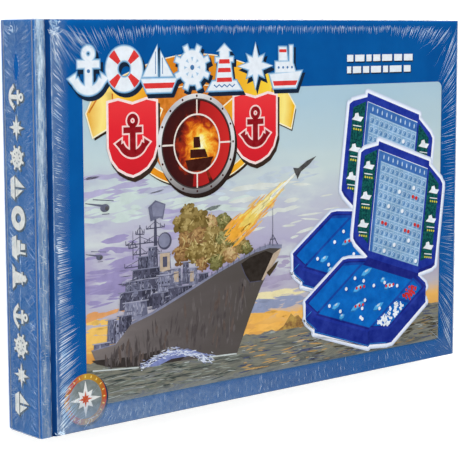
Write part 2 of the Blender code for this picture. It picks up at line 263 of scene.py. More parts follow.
def moulded(name, dark, light, roughness=0.32, alpha=1.0):
    """Injection-moulded plastic: faint flow marks, a fine spark texture and uneven gloss."""
    surface = Surface(name, roughness, Alpha=alpha, IOR=1.49)
    flow = surface.noise(20.0, 3, 0.5, surface.scaled(1, 2.5, 1), 1.2)
    surface.colour(surface.ramp(flow, [(0.3, dark), (0.7, light)]))
    surface.bump(surface.noise(3520.0, 2), 0.00004, 0.6)
    uneven = surface.span(surface.noise(160.0, 3), 0.3, 0.7, roughness - 0.06, roughness + 0.1)
    surface.feed(surface.shader.inputs["Roughness"], uneven)
    return surface.material


class Film(Surface):
    """Clear shrink film: almost unseen face on, its pale colour showing more at a slant as a painted sheen,
    and milky where it is gathered.
    """

    def __init__(self, name, stretch=(1, 1, 1), tint=((150, 170, 192), (196, 208, 220))):
        super().__init__(name, 0.24)
        self.streaks = self.noise(420.0, 5, 0.65, self.scaled(*stretch))
        self.colour(self.ramp(self.streaks, [(0.35, tint[0]), (0.65, tint[1])]))
        self.bump(self.noise(120.0, 3, 0.5, self.scaled(*stretch)), 0.0009, 0.5)

    def milky(self, haze_and_sheen, uneven=0.5):
        """How pale the film is at its cloudiest, from 0 to 1: its milkiness, and on the front and the hinge
        strip also painted reflection and highlight.
        """
        # Painted sheen: more of the film's pale colour shows at a slant.
        gloss = self.nodes.new("ShaderNodeFresnel").outputs[0]
        slant = self.span(gloss, 0.09, 0.8, 0.0, 0.6)
        share = self.span(self.streaks, 0.3, 0.7, 1 - uneven, 1 + uneven)
        self.feed(self.shader.inputs["Alpha"], self.math("MULTIPLY_ADD", haze_and_sheen, share, slant))
        return self.material

    def band(self, axis, origin, *places):
        """1 between the two middle places and 0 beyond the outer two, in millimetres from an origin."""
        where = self.axis(axis)
        a, b, c, d = (origin + place * MM for place in places)
        return self.times(self.span(where, a, b), self.span(where, d, c))

    def patch(self, u_places, v_places):
        """A band along the front times a band up it."""
        return self.times(self.band("X", LEFT, *u_places), self.band("Y", BOTTOM, *v_places))


# ---------------------------------------------------------------- mesh helpers


def link(name, data):
    """A new object in the scene's own collection."""
    made = bpy.data.objects.new(name, data)
    bpy.context.scene.collection.objects.link(made)
    return made


def add_mesh(name, vertices, faces, material, body, smooth=False):
    mesh = bpy.data.meshes.new(name)
    mesh.from_pydata(vertices, [], faces)
    mesh.materials.append(material)
    if smooth:
        mesh.shade_smooth()
    piece = link(name, mesh)
    if body:
        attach(piece, body)
    return piece


def on_front(u, v, level):
    """A place on the cover's face, some levels of print above it."""
    return (LEFT + u * MM, BOTTOM + v * MM, FRONT + level * INK)


def on_spine(u, v, level):
    """u runs from the back board to the front along the spine, and v up it."""
    return (LEFT - level * INK, BOTTOM + v * MM, u * MM)


def area(outline):
    """Positive where the outline runs anticlockwise."""
    return sum(a[0] * b[1] - b[0] * a[1] for a, b in zip(outline, outline[1:] + outline[:1])) / 2


class Painting:
    """One printed piece: layers of (u, v) outlines, each layer a hair above the one before."""

    def __init__(self, name, level, place=on_front, body="cover"):
        self.name = name
        self.level = level
        self.place = place
        self.body = body
        self.vertices = []
        self.faces = []
        self.slots = []
        self.paints = []

    def add(self, paint, shapes, rise=True):
        """The golden ratio scatters the outlines of one layer in height, so that none lie in one plane."""
        if rise:
            self.level += LAYER
        if paint not in self.paints:
            self.paints.append(paint)
        for outline in shapes:
            if area(outline) < 0:
                outline = outline[::-1]
            first = len(self.vertices)
            self.faces.append(list(range(first, first + len(outline))))
            level = self.level + SCATTER * (len(self.faces) * GOLDEN % 1)
            self.slots.append(self.paints.index(paint))
            self.vertices += [self.place(u, v, level) for u, v in outline]

    def ink(self, name, colour, shapes, spread=7, scale=300.0):
        """A layer in a new printed colour."""
        self.add(plain_print(name, colour, spread, scale), shapes)

    def finish(self):
        piece = add_mesh(self.name, self.vertices, self.faces, self.paints[0], self.body)
        for paint in self.paints[1:]:
            piece.data.materials.append(paint)
        piece.data.polygons.foreach_set("material_index", self.slots)


def rectangle(u, v, width, height):
    return [(u, v), (u + width, v), (u + width, v + height), (u, v + height)]


def arc(u, v, radius, start=0.0, end=360.0, points=40, flatten=1.0):
    """Points round a circle, or along a part of it; angles are in degrees."""
    whole = abs(end - start) >= 360
    steps = points if whole else points - 1
    out = []
    for i in range(points):
        angle = math.radians(start + (end - start) * i / steps)
        out.append((u + radius * math.cos(angle), v + radius * flatten * math.sin(angle)))
    return out


def stroke(points, width, closed=False, taper=1.0):
    """The quads of a mitred line; taper scales its width towards its end."""
    count = len(points)
    sides = []
    for i, (u, v) in enumerate(points):
        before = points[i - 1] if closed or i else points[i]
        after = points[(i + 1) % count] if closed or i < count - 1 else points[i]
        along = Vector((after[0] - before[0], after[1] - before[1])).normalized()
        half = width / 2 * (1 + (taper - 1) * i / (count - 1))
        sides.append(((u - along.y * half, v + along.x * half), (u + along.y * half, v - along.x * half)))
    pairs = list(zip(sides, sides[1:] + sides[:1]))
    if not closed:
        pairs = pairs[:-1]
    return [[a[0], a[1], b[1], b[0]] for a, b in pairs]


def dab(u, v, reach, angle, width):
    """One brush stroke: a thin leaf with its middle at (u, v), at an angle in degrees."""
    turn = math.radians(angle)
    along = (math.cos(turn) * reach / 2, math.sin(turn) * reach / 2)
    across = (-math.sin(turn) * width / 2, math.cos(turn) * width / 2)
    outline = []
    for share, side in ((-1, 0), (-0.5, -1), (0.4, -1), (1, 0), (0.4, 1), (-0.5, 1)):
        outline.append((u + along[0] * share + across[0] * side, v + along[1] * share + across[1] * side))
    return outline


def brush_strokes(rng, count, box, reach, angle, width):
    """Dabs in a (low u, low v, high u, high v) box of the panel; the last three are low and high pairs."""
    strokes = []
    for _ in range(count):
        u = rng.uniform(box[0], box[2])
        v = rng.uniform(box[1], box[3])
        outline = dab(u, v, rng.uniform(*reach), rng.uniform(*angle), rng.uniform(*width))
        strokes.append([(min(max(u, PANEL_LEFT), PANEL_RIGHT), max(v, PANEL_LOW)) for u, v in outline])
    return strokes


def glow(outlines, margin):
    """The outlines made fatter all round, with round corners."""
    shapes = []
    for outline in outlines:
        shapes += stroke(outline, 2 * margin, True)
        shapes += [arc(u, v, margin, points=14) for u, v in outline]
    return shapes


def grow(outline, distance):
    """Moves every side of an outline outwards by one distance."""
    if area(outline) < 0:
        outline = outline[::-1]
    moved = []
    for i, (u, v) in enumerate(outline):
        before = (Vector((u, v)) - Vector(outline[i - 1])).normalized()
        after = (Vector(outline[(i + 1) % len(outline)]) - Vector((u, v))).normalized()
        one = Vector((before.y, -before.x))
        other = Vector((after.y, -after.x))
        share = distance / max(0.35, 1 + one.dot(other))
        moved.append((u + (one.x + other.x) * share, v + (one.y + other.y) * share))
    return moved


def shift(outline, du, dv, size=1.0):
    """The outline scaled about (0, 0), then moved."""
    return [(u * size + du, v * size + dv) for u, v in outline]


# ---------------------------------------------------------------- icons, in place of all lettering

# An icon is a list of (LINE, points, width, closed) and (FILL, outline), about 26 units across
LINE = "line"
FILL = "fill"
BUOY_RADIUS = 8.6
BUOY_WIDTH = 7.4


def anchor_icon():
    fluke = [(8.5, -1.5), (13.0, -4.0), (9.0, -8.0)]
    return [
        (LINE, arc(0, 9.4, 2.9, points=24), 2.6, True),
        (LINE, [(0, 6.5), (0, -10)], 4.4, False),
        (LINE, [(-7.0, 3.8), (7.0, 3.8)], 3.6, False),
        (LINE, arc(0, -1, 9.6, 202, 338, 20), 4.2, False),
        (FILL, fluke),
        (FILL, [(-u, v) for u, v in fluke]),
    ]


def wheel_icon():
    spokes = []
    for i in range(8):
        turn = math.radians(45 * i + 22.5)
        reach = Vector((math.cos(turn), math.sin(turn)))
        spokes.append((LINE, [tuple(reach * 2.0), tuple(reach * 12.8)], 2.6, False))
    return [(LINE, arc(0, 0, 7.8, points=32), 3.6, True), (FILL, arc(0, 0, 3.4, points=20)), *spokes]


def lifebuoy_icon():
    return [(LINE, arc(0, 0, BUOY_RADIUS), BUOY_WIDTH, True)]


def sailboat_icon():
    return [
        (FILL, [(-12.4, -5.2), (-8.5, -12.4), (8.5, -12.4), (12.4, -5.2)]),
        (FILL, [(-1.2, -3.6), (-1.2, 13), (-11, -3.6)]),
        (FILL, [(1.4, -3.6), (1.4, 9.6), (9.6, -3.6)]),
    ]


def lighthouse_icon():
    return [
        (FILL, [(-12.6, -12.6), (12.6, -12.6), (9.0, -7.6), (-9.0, -7.6)]),
        (FILL, [(-6.2, -8), (6.2, -8), (4.2, 4.4), (-4.2, 4.4)]),
        (FILL, rectangle(-6.4, 4.0, 12.8, 2.0)),
        (FILL, rectangle(-3.2, 6.0, 6.4, 4.0)),
        (FILL, [(-4.6, 10.0), (4.6, 10.0), (0, 13.4)]),
    ]


def star_icon():
    outline = []
    for i in range(16):
        reach = (13.2, 5.0, 8.6, 5.0)[i % 4]
        turn = math.radians(90 + 22.5 * i)
        outline.append((reach * math.cos(turn), reach * math.sin(turn)))
    return [(FILL, outline)]


def ship_icon():
    return [
        (FILL, [(-12.5, -4.5), (-9.5, -12.4), (8.5, -12.4), (13, -3)]),
        (FILL, [(-8.0, -3.2), (-8.0, 2.8), (5.5, 2.8), (8.0, -3.2)]),
        (FILL, [(-5.0, 3.9), (-5.0, 11.5), (0.5, 11.5), (1.5, 3.9)]),
        (LINE, [(4.6, 2.5), (4.6, 12.4)], 2.2, False),
    ]


def red_details(ring, boat, tower, ship):
    """Red bands on the lifebuoy and the lighthouse, and red hulls under the boat and the ship."""
    shapes = []
    for start in range(32, 392, 90):
        shapes += stroke(arc(*ring, BUOY_RADIUS, start, start + 26, 6), BUOY_WIDTH)
    shapes.append(shift([(-11.3, -7.4), (-9.7, -10.4), (9.7, -10.4), (11.3, -7.4)], *boat))
    for low in (-8.0, -2.4, 2.6):
        wide = 5.9 - (low + 8) * 0.16
        band = [(-wide, low), (wide, low), (wide - 0.4, low + 2.5), (0.4 - wide, low + 2.5)]
        shapes.append(shift(band, *tower))
    shapes.append(shift([(-10.2, -8.4), (-9.2, -11.2), (8.4, -11.2), (10.0, -8.4)], *ship))
    shapes.append(shift(rectangle(-5.0, 8.6, 5.8, 1.8), *ship))
    return shapes


def blue_details(anchor, boat, wheel, tower, ship):
    """Blue bolts, ports, sail seams and waves."""
    shapes = [arc(*wheel, 1.5, points=14), arc(*anchor, 1.1, points=10)]
    shapes += [shift(arc(-5.5 + 3.6 * i, -0.4, 0.8, points=10), *ship) for i in range(4)]
    for side, top in ((2.6, 6.6), (-2.4, 10)):
        shapes += stroke(shift([(side, -2.4), (side, top)], *boat), 0.5)
    waves = [(i * 2 - 8, 0.7 * (-1) ** i - 10.2) for i in range(9)]
    return shapes + stroke(shift(waves, *tower), 0.8)


def lengthened(points, margin):
    """An open line, carried on at both ends."""
    first = Vector(points[0]) - Vector(points[1])
    last = Vector(points[-1]) - Vector(points[-2])
    start = Vector(points[0]) + first.normalized() * margin
    end = Vector(points[-1]) + last.normalized() * margin
    return [tuple(start), *points[1:-1], tuple(end)]


def icon_shapes(icon, u, v, size=1.0, margin=0.0):
    """An icon's outlines at a place, made fatter all round by a margin."""
    shapes = []
    for kind, points, *rest in icon:
        moved = shift(points, u, v, size)
        if kind == FILL:
            shapes.append(grow(moved, margin) if margin else moved)
            continue
        width, closed = rest
        if margin and not closed:
            moved = lengthened(moved, margin)
        shapes += stroke(moved, width * size + 2 * margin, closed)
    return shapes


# ---------------------------------------------------------------- the cover's picture

PANEL_LEFT = 30.2
PANEL_RIGHT = 319.6
PANEL_LOW = 12.6
PANEL_HIGH = 185.3
SEA_LEVEL = 37.5
PORTHOLE = (109.7, 154.6)

# Levels of print at which the picture, and the pieces printed over it, start
PICTURE_LEVEL = 1
TITLE_LEVEL = 25

# The share of a deck house's ports that are drawn
PORT_SHARE = 0.4

WHITE = (236, 239, 240)
SHADOW = (24, 40, 62)
VIOLET_CLOUD = (160, 148, 192)
LIGHT_CLOUD = (224, 230, 220)
SHIP_GREYS = ((60, 60, 76), (86, 86, 106), (110, 112, 134), (136, 138, 160), (172, 172, 190))

# Gradients: how far along, and the printed colour there
SKY_STOPS = [
    (0.15, (222, 160, 84)), (0.215, (244, 190, 104)), (0.26, (196, 190, 196)), (0.34, (176, 166, 196)),
    (0.47, (196, 194, 208)), (0.6, (206, 218, 214)), (0.8, (180, 206, 216)),
]
SEA_STOPS = [
    (0.3, (78, 80, 78)), (0.44, (112, 114, 107)), (0.54, (142, 140, 124)), (0.62, (112, 116, 120)),
    (0.72, (176, 180, 170)),
]
HULL_STOPS = [(0.0, (140, 130, 124)), (0.2, (118, 110, 109)), (0.5, (98, 91, 90)), (1.0, (84, 78, 73))]
GOLD_STOPS = [
    (0.0, (232, 164, 40)), (0.07, (255, 232, 140)), (0.16, (250, 200, 64)), (0.3, (238, 156, 34)),
    (0.5, (206, 110, 24)), (0.7, (246, 180, 44)), (0.86, (252, 214, 64)), (0.95, (255, 234, 140)),
    (1.0, (244, 190, 36)),
]
FIRE_STOPS = [
    (0.0, (255, 250, 214)), (0.16, (255, 222, 90)), (0.34, (240, 140, 30)), (0.52, (178, 52, 24)),
    (0.72, (74, 24, 22)), (1.0, (60, 22, 24)),
]
STEEL_STOPS = [
    (0, (120, 116, 118)), (0.3, (206, 202, 198)), (0.6, (232, 230, 228)), (0.85, (190, 188, 190)),
    (1, (232, 228, 222)),
]
BADGE_STOPS = [
    (0, (196, 146, 52)), (0.25, (190, 52, 40)), (0.5, (206, 160, 58)), (0.8, (176, 128, 44)),
    (1, (206, 62, 52)),
]

# Banks of cloud: colour, brush strokes, and the box they lie in
CLOUDS = (
    ((184, 178, 206), 26, (33, 128, 100, 140)), ((190, 192, 208), 20, (33, 120, 130, 132)),
    ((208, 220, 212), 30, (33, 114, 66, 130)), ((212, 222, 214), 26, (84, 108, 150, 124)),
    ((166, 156, 194), 34, (33, 74, 66, 106)), ((158, 148, 188), 22, (33, 66, 60, 90)),
    ((180, 172, 204), 20, (84, 96, 110, 118)), ((200, 210, 216), 24, (120, 120, 200, 140)),
    ((222, 224, 214), 30, (140, 92, 220, 130)), ((176, 166, 190), 30, (150, 64, 215, 84)),
    ((240, 226, 178), 16, (146, 58, 196, 61.5)), ((154, 162, 188), 26, (140, 51, 200, 57)),
    ((246, 200, 108), 30, (31, 42, 60, 60)), ((248, 190, 96), 34, (138, 38, 200, 50)),
    ((232, 168, 110), 10, (31, 61, 62, 65)),
)

# Waves: colour, brush strokes, the box they lie in, and the widest stroke
LEFT_SEA = (32, 15, 140, 34)
WAVES = (
    ((76, 84, 112), 90, (142, 15, 318, 36), 0.9), ((82, 76, 62), 70, (200, 13.5, 318, 30), 1.1),
    ((204, 162, 100), 46, (145, 16, 215, 33), 0.7), ((150, 128, 92), 60, (215, 14, 318, 34), 0.8),
    ((112, 118, 108), 80, LEFT_SEA, 1.2), ((150, 156, 148), 70, LEFT_SEA, 0.7),
    ((70, 78, 76), 60, LEFT_SEA, 0.8), ((190, 196, 192), 40, (32, 15, 318, 33), 0.45),
)

# Smoke: each family's tones from dark to lit, and billows as u, v, size and family
SMOKE_TONES = {
    "olive": ((118, 98, 50), (148, 126, 72), (176, 154, 96)),
    "brown": ((128, 94, 58), (156, 120, 76), (184, 148, 96)),
    "peach": ((164, 128, 84), (194, 160, 110), (216, 186, 138)),
    "moss": ((104, 98, 54), (132, 128, 78), (158, 154, 100)),
}
BILLOWS = (
    (119, 107, 6.5, "peach"), (97, 109, 5.5, "olive"), (111, 110, 7, "olive"), (104, 114, 7.5, "olive"),
    (104, 105, 8, "olive"), (130, 107, 6.5, "moss"), (137, 99, 6.5, "moss"), (143, 92, 6.5, "olive"),
    (102, 99, 6.5, "brown"), (112, 100, 7, "brown"), (122, 100, 7.5, "olive"), (130, 96, 7, "moss"),
    (98, 91, 7, "brown"), (108, 91, 7.5, "olive"), (118, 91, 7.5, "olive"), (128, 89, 7, "olive"),
    (148, 90, 4.5, "moss"), (135, 87, 6, "peach"), (113, 84, 5, "brown"), (124, 84, 5.5, "moss"),
)

# The rocket's trail: colour, streaks, the shares of its length they lie between, and how wide it is
FLAME_STAGES = (
    ((232, 196, 130), 80, 0.0, 0.8, 12.0), ((238, 172, 92), 90, 0.0, 0.6, 10.5),
    ((246, 180, 66), 100, 0.0, 0.62, 8.0), ((244, 214, 110), 110, 0.18, 0.85, 7.0),
    ((250, 234, 170), 90, 0.4, 1.0, 4.8), ((250, 248, 238), 70, 0.66, 1.0, 3.0),
)

# Masts: u, foot, top, width, and spars as shares of the height with their half lengths
MASTS = (
    (68, 80, 111, 1.6, ((0.25, 11), (0.47, 5), (0.66, 10), (0.84, 3))),
    (63, 92, 108, 0.6, ((0.4, 3),)),
    (79, 84, 116, 3.6, ((0.3, 4), (0.52, 8), (0.76, 6.5))),
)

# Deck houses, from the furthest: u, v, width, height, and which grey
DECK_HOUSES = (
    (81, 78, 9.5, 16, 3), (66, 84, 10, 9, 1), (73, 86, 7, 12, 2), (62, 78, 20, 8, 1), (57, 72, 24, 8, 2),
    (90, 72, 8, 12, 3), (98, 74, 6, 13, 2), (103, 73, 7, 10, 3), (80, 70, 13, 11, 3), (110, 74, 8, 5, 1),
    (53, 64, 26, 10, 1), (56, 58, 17, 10, 3), (76, 62, 15, 9, 1), (88, 66, 18, 7, 1),
    (44, 46, 8, 14, 2), (50, 45, 12, 14, 3), (52, 52, 10, 9, 1), (35, 44, 11, 3.4, 2),
)

# The hull: along the deck to the bow, down the stem, and back along the waterline
HULL = (
    (33.5, 43.8), (50, 45.4), (61, 55.5), (76, 59.5), (90, 64.6), (107, 71), (125, 78), (140, 83), (156, 88),
    (166, 90), (176, 88.6), (172.5, 83), (165, 75), (159, 66), (150, 49), (144, 36.5), (139.6, 27.5),
    (118, 28.5), (96, 29.5), (70, 30.2), (48, 32.5), (37, 36),
)
HULL_FOOT = ((33.5, 38.5), (60, 37), (84, 38), (104, 33), (96, 29.5), (70, 30.2), (48, 32.5), (37, 36))
HULL_STROKES = (("lit", (104, 97, 96), 70), ("dark", (86, 79, 79), 80), ("rust", (100, 87, 82), 30))
DECK_EDGE = (
    (61, 56), (76, 60), (90, 65.1), (107, 71.5), (125, 78.5), (140, 83.5), (156, 88.4), (166, 90),
    (176, 88.8),
)

# Foam at the hull's foot: its shade's outline, and strokes as name, colour, count and scatter
FOAM = (
    (68, 29.5), (80, 32.5), (92, 36.2), (104, 35), (112, 32), (120, 29.4), (104, 31.4), (90, 31.6), (80, 29),
)
FOAM_STROKES = (("blue", (160, 170, 208), 220, 2.4), ("white", (226, 231, 238), 120, 2.6))

RIBBON_TAILS = (
    [(32.5, 174.5), (38, 184.5), (50, 186), (50, 168), (46, 166), (36.6, 161.8)],
    [(186.6, 173.5), (180, 182.5), (168, 186), (168, 168), (172, 165), (183.4, 160.6)],
)
RIBBON_INNER = (
    [(77, 179), (84, 175), (80, 166), (86, 160), (78, 150)],
    [(141, 182), (130, 175), (137, 166), (133, 158), (142, 150)],
)


def rounded_panel():
    radius = 4.0
    corner = arc(PANEL_RIGHT - radius, PANEL_HIGH - radius, radius, 0, 90, 10)
    return [(PANEL_LEFT, PANEL_LOW), (PANEL_RIGHT, PANEL_LOW), *corner, (PANEL_LEFT, PANEL_HIGH)]


def sky_print():
    """Pale sea sky: grey-green above, violet cloud banks on the left, an orange horizon."""
    surface = printed("sky_print")
    u = surface.span(surface.axis("X"), LEFT, RIGHT)
    v = surface.span(surface.axis("Y"), BOTTOM, TOP)
    drift = surface.noise(14.0, 7, 0.62, surface.scaled(0.55, 1.5, 1), 0.6)
    base = surface.ramp(surface.wobbled(v, drift, 0.16), SKY_STOPS)
    bank = surface.span(surface.noise(20.0, 6, 0.6, surface.scaled(0.5, 1.5, 1), 0.5), 0.45, 0.56)
    left = surface.span(u, 0.6, 0.12)
    middle = surface.times(surface.span(v, 0.26, 0.34), surface.span(v, 0.66, 0.54))
    clouded = surface.mix(surface.times(bank, left, middle, 0.9), base, linear(VIOLET_CLOUD))
    light = surface.span(surface.noise(26.0, 5, 0.6, surface.scaled(0.5, 1.3, 1)), 0.5, 0.62, 0, 0.7)
    surface.colour(surface.mix(surface.times(light, middle), clouded, linear(LIGHT_CLOUD)))
    return surface.material


def paint_sky(picture, rng):
    picture.add(sky_print(), [rounded_panel()])
    for i, (colour, count, box) in enumerate(CLOUDS):
        strokes = brush_strokes(rng, count, box, (7, 24), (-8, 10), (0.8, 3.2))
        picture.ink(f"cloud_{i:02d}", colour, strokes, 8, 120.0)


def paint_sea(picture, rng):
    crest = []
    for u in range(33, 318, 3):
        crest.append((u, SEA_LEVEL + 0.7 * math.sin(u * 0.35) + 0.4 * math.sin(u * 0.9 + 1)))
    water = [(PANEL_LEFT, PANEL_LOW), (PANEL_RIGHT, PANEL_LOW), (PANEL_RIGHT, SEA_LEVEL)]
    water += [*crest[::-1], (PANEL_LEFT, SEA_LEVEL)]
    picture.add(mottled_print("sea_print", SEA_STOPS, 70.0, (0.5, 2.6, 1), 7, 1.4), [water])
    shore = [(172, 37), (178, 39.5), (181, 43), (184, 46.5), (187, 44), (190, 44.8), (194, 41), (199, 37)]
    picture.add(mottled_print("shore", [(0.4, (140, 104, 66)), (0.6, (196, 160, 84))], 240.0), [shore])
    for i, (colour, count, box, width) in enumerate(WAVES):
        strokes = brush_strokes(rng, count, box, (3, 13), (-7, 7), (width * 0.5, width))
        picture.ink(f"wave_{i}", colour, strokes, 14)


def ship_block(picture, rng, tones, u, v, width, height, tone):
    """One deck house: lit left, shaded right, with a rail, rows of ports and sketchy upright strokes."""
    inset = min(1.2, height * 0.08)
    roof = [(u + width - inset, v + height), (u + inset, v + height)]
    picture.add(tones[tone], [[(u, v), (u + width, v), *roof]])
    edge = u + width * rng.uniform(0.55, 0.72)
    picture.add(tones[max(0, tone - 1)], [[(edge, v), (u + width, v), roof[0], (edge, v + height)]])
    box = (u + 0.6, v + 1, u + width - 0.6, v + height - 1)
    count = int(width * height / 7)
    brightest = len(tones) - 1
    for step, share in ((-1, 1), (1, 1), (2, 3)):
        strokes = brush_strokes(rng, count // share, box, (1.0, 3.8), (70, 110), (0.25, 0.7))
        picture.add(tones[min(max(tone + step, 0), brightest)], strokes, step == -1)
    rail = stroke([(u - 0.8, v + height), (u + width + 0.6, v + height)], 0.6)
    picture.add(tones[min(tone + 2, brightest)], rail)
    ports = []
    for row in range(int(height // 4)):
        for i in range(int(width // 2.2)):
            if rng.random() < PORT_SHARE:
                ports.append(rectangle(u + 1.2 + i * 2.2, v + 2 + row * 4, 0.9, rng.uniform(0.6, 1.6)))
    picture.add(tones[0], ports, False)


def paint_mast(picture, rng, paint, u, low, high, width, spars):
    """A tapered mast with spars, short uprights on them, and stays."""
    lines = stroke([(u, low), (u, high)], width, taper=0.35)
    for share, half in spars:
        level = low + (high - low) * share
        lines += stroke([(u - half, level), (u + half, level + rng.uniform(-0.5, 0.5))], 0.55)
        for side in (-1, -0.55, 0.55, 1):
            lines += stroke([(u + half * side, level), (u + half * side, level + rng.uniform(1, 3))], 0.4)
        lines += stroke([(u - half, level), (u, level + 4)], 0.3)
        lines += stroke([(u + half, level), (u, level + 4)], 0.3)
    picture.add(paint, lines)


def paint_upper_works(picture, rng, tones, cream):
    """Masts with their spars, the deck houses in front of them, and the aerials."""
    for mast in MASTS:
        paint_mast(picture, rng, tones[1], *mast)
    for block in DECK_HOUSES:
        ship_block(picture, rng, tones, *block)
    picture.add(cream, [rectangle(82, 83, 7.2, 10.5), rectangle(92, 76, 3.4, 6), rectangle(104, 75, 2.6, 6)])
    picture.add(tones[1], [rectangle(84, 85.5, 3.2, 6)])
    picture.add(tones[2], [[(74, 120.5), (75.5, 112.5), (82, 114), (84.4, 113), (86.4, 121.5), (79, 124.2)]])
    picture.add(tones[3], [[(76.5, 121), (77.5, 115), (84, 115), (85.4, 121.2), (79.4, 123.2)]])
    picture.add(tones[1], [arc(85.6, 100.5, 5.0, points=20)])
    picture.add(tones[3], [arc(85.2, 100.8, 4.1, points=18), arc(64, 73, 2.2, points=12)])
    picture.add(tones[1], brush_strokes(rng, 60, (54, 60, 106, 84), (3, 9), (-3, 3), (0.25, 0.5)))
    picture.add(tones[4], brush_strokes(rng, 70, (52, 48, 106, 82), (1.5, 5), (-4, 96), (0.25, 0.55)))


def paint_hull(picture, rng):
    """The hull, darker at the waterline, with upright strokes kept between its deck and its foot."""
    picture.add(gradient_print("hull_print", "X", 30, 172, HULL_STOPS, 0.5, 80.0, (0.5, 1.6, 1)), [HULL])
    picture.ink("hull_low", (62, 56, 54), [HULL_FOOT], 8)
    for name, colour, count in HULL_STROKES:
        strokes = []
        while len(strokes) < count:
            u = rng.uniform(42, 158)
            top = 46 + (u - 50) * 0.36 - 4
            low = 33 + max(0, u - 136) * 1.9 + 2
            if top > low:
                v = rng.uniform(low, top)
                strokes.append(dab(u, v, rng.uniform(3, 13), rng.uniform(74, 98), rng.uniform(0.6, 1.9)))
        picture.ink(f"hull_{name}", colour, strokes, 8)


def paint_bow(picture, tones, cream):
    """The anchor's pocket, the pale stem, the lit edge of the deck, and the rail and jackstaff."""
    lit_edge = [(143, 81.5), (146, 75), (150, 69.6), (159, 69.5)]
    pocket = [lit_edge[0], (150, 84.6), (163, 87.4), (169, 85), (165.5, 77), *lit_edge[:0:-1]]
    picture.ink("hull_pocket", (50, 43, 38), [pocket], 8)
    picture.add(tones[1], stroke(lit_edge, 0.5))
    picture.add(cream, [[(175.6, 88), (169, 85), (159.4, 70), (160.6, 69.6), (166, 75), (173, 83)]])
    bulge = [(163.5, 74), (166, 71.6), (171, 76.5), (173.4, 80.2), (171, 79.4)]
    picture.ink("hull_anchor", (74, 62, 44), [bulge], 10)
    edges = stroke(DECK_EDGE[:7], 1.5) + stroke(DECK_EDGE[6:], 2.4) + stroke([(33.5, 44), (50, 45.6)], 0.6)
    picture.add(tones[3], edges)
    lines = stroke([(168.6, 90), (168.6, 113)], 0.5, taper=0.4)
    lines += stroke([(166.4, 94), (171, 94)], 0.5)
    lines += stroke([(165.5, 90.5), (168.6, 97), (172.6, 90.5)], 0.5)
    for i in range(14):
        u = 112 + i * 4.2
        foot = 74 + i * 1.28
        lines += stroke([(u, foot), (u, foot + 2.4)], 0.4)
    picture.add(tones[1], lines)


def paint_warship(picture, rng):
    tones = [plain_print(f"ship_tone_{i}", colour, 10) for i, colour in enumerate(SHIP_GREYS)]
    cream = plain_print("ship_cream", (196, 176, 154), 14)
    paint_upper_works(picture, rng, tones, cream)
    paint_hull(picture, rng)
    paint_bow(picture, tones, cream)


def paint_foam(picture, rng):
    picture.ink("foam_shade", (128, 138, 186), [FOAM], 16)
    for name, colour, count, scatter in FOAM_STROKES:
        strokes = []
        for _ in range(count):
            along = rng.random()
            crest = 30 + 6 * math.sin(math.pi * min(1, along * 1.15)) - 2 * along
            v = crest + rng.gauss(0, scatter) * 0.5
            reach = rng.uniform(1, 4.4)
            angle = rng.uniform(-14, 30) - 30 * along
            strokes.append(dab(68 + along * 54, v, reach, angle, rng.uniform(0.2, 0.55)))
        picture.ink(f"foam_{name}", colour, strokes, 8)
    lines = stroke([(34, 32.6), (48, 31.4), (66, 30)], 0.8) + stroke([(118, 28.6), (139.4, 27.6)], 0.9)
    picture.ink("foam_line", (206, 212, 208), lines, 8)


def smoke_puffs(rng, u, v, size, tone):
    """One tone of a billow: the brighter tones sit higher and keep nearer to its middle."""
    rise = 0.2 * tone
    reach = (1.0, 0.8, 0.5)[tone]
    count = (34, 34, 16)[tone]
    puffs = []
    for _ in range(count):
        turn = rng.uniform(0, math.tau)
        away = size * reach * math.sqrt(rng.uniform(0.04, 1.0))
        puff = size * rng.uniform(0.1, 0.28) * (1 - 0.2 * tone)
        across = u + math.cos(turn) * away - size * rise * 0.4
        up = v + math.sin(turn) * away * 0.85 + size * rise
        puffs.append(arc(across, up, puff, points=10, flatten=rng.uniform(0.6, 1.0)))
    return puffs


def paint_smoke(picture, rng):
    """Billows from back to front, each with a dark underside, a middle tone and a lit top."""
    paints = {}
    for kind, family in SMOKE_TONES.items():
        paints[kind] = [plain_print(f"smoke_{kind}_{i}", family[i], 14, 200.0) for i in range(3)]
    for u, v, size, kind in BILLOWS:
        heart = [arc(u, v, size * 0.78, points=24, flatten=0.9)]
        for tone, paint in enumerate(paints[kind]):
            picture.add(paint, heart + smoke_puffs(rng, u, v, size, tone))
            heart = []
    wisps = []
    for _ in range(90):
        u = rng.gauss(122, 13)
        v = rng.gauss(96, 8)
        wisps.append(dab(u, v, rng.uniform(1.5, 5), rng.uniform(0, 180), rng.uniform(0.3, 0.9)))
    picture.ink("smoke_wisp", (206, 186, 128), wisps, 16)


def paint_flame(picture, rng):
    """The rocket's trail, in streaks that widen and redden away from it."""
    tail = Vector((136, 99))
    mouth = Vector((187, 132.4))
    angle = math.degrees(math.atan2(mouth.y - tail.y, mouth.x - tail.x))
    for i, (colour, count, first, last, wide) in enumerate(FLAME_STAGES):
        streaks = []
        for _ in range(count):
            along = rng.uniform(first, last)
            spot = tail.lerp(mouth, along)
            side = rng.gauss(0, 0.36) * wide * (1.08 - along)
            reach = min(rng.uniform(5, 15), 22 * (1.12 - along) + 2)
            slant = angle + rng.uniform(-7, 7)
            width = rng.uniform(0.5, 1.7) * (1.15 - along * 0.6)
            streaks.append(dab(spot.x - side * 0.55, spot.y + side * 0.84, reach, slant, width))
        picture.ink(f"flame_{i}", colour, streaks, 8)


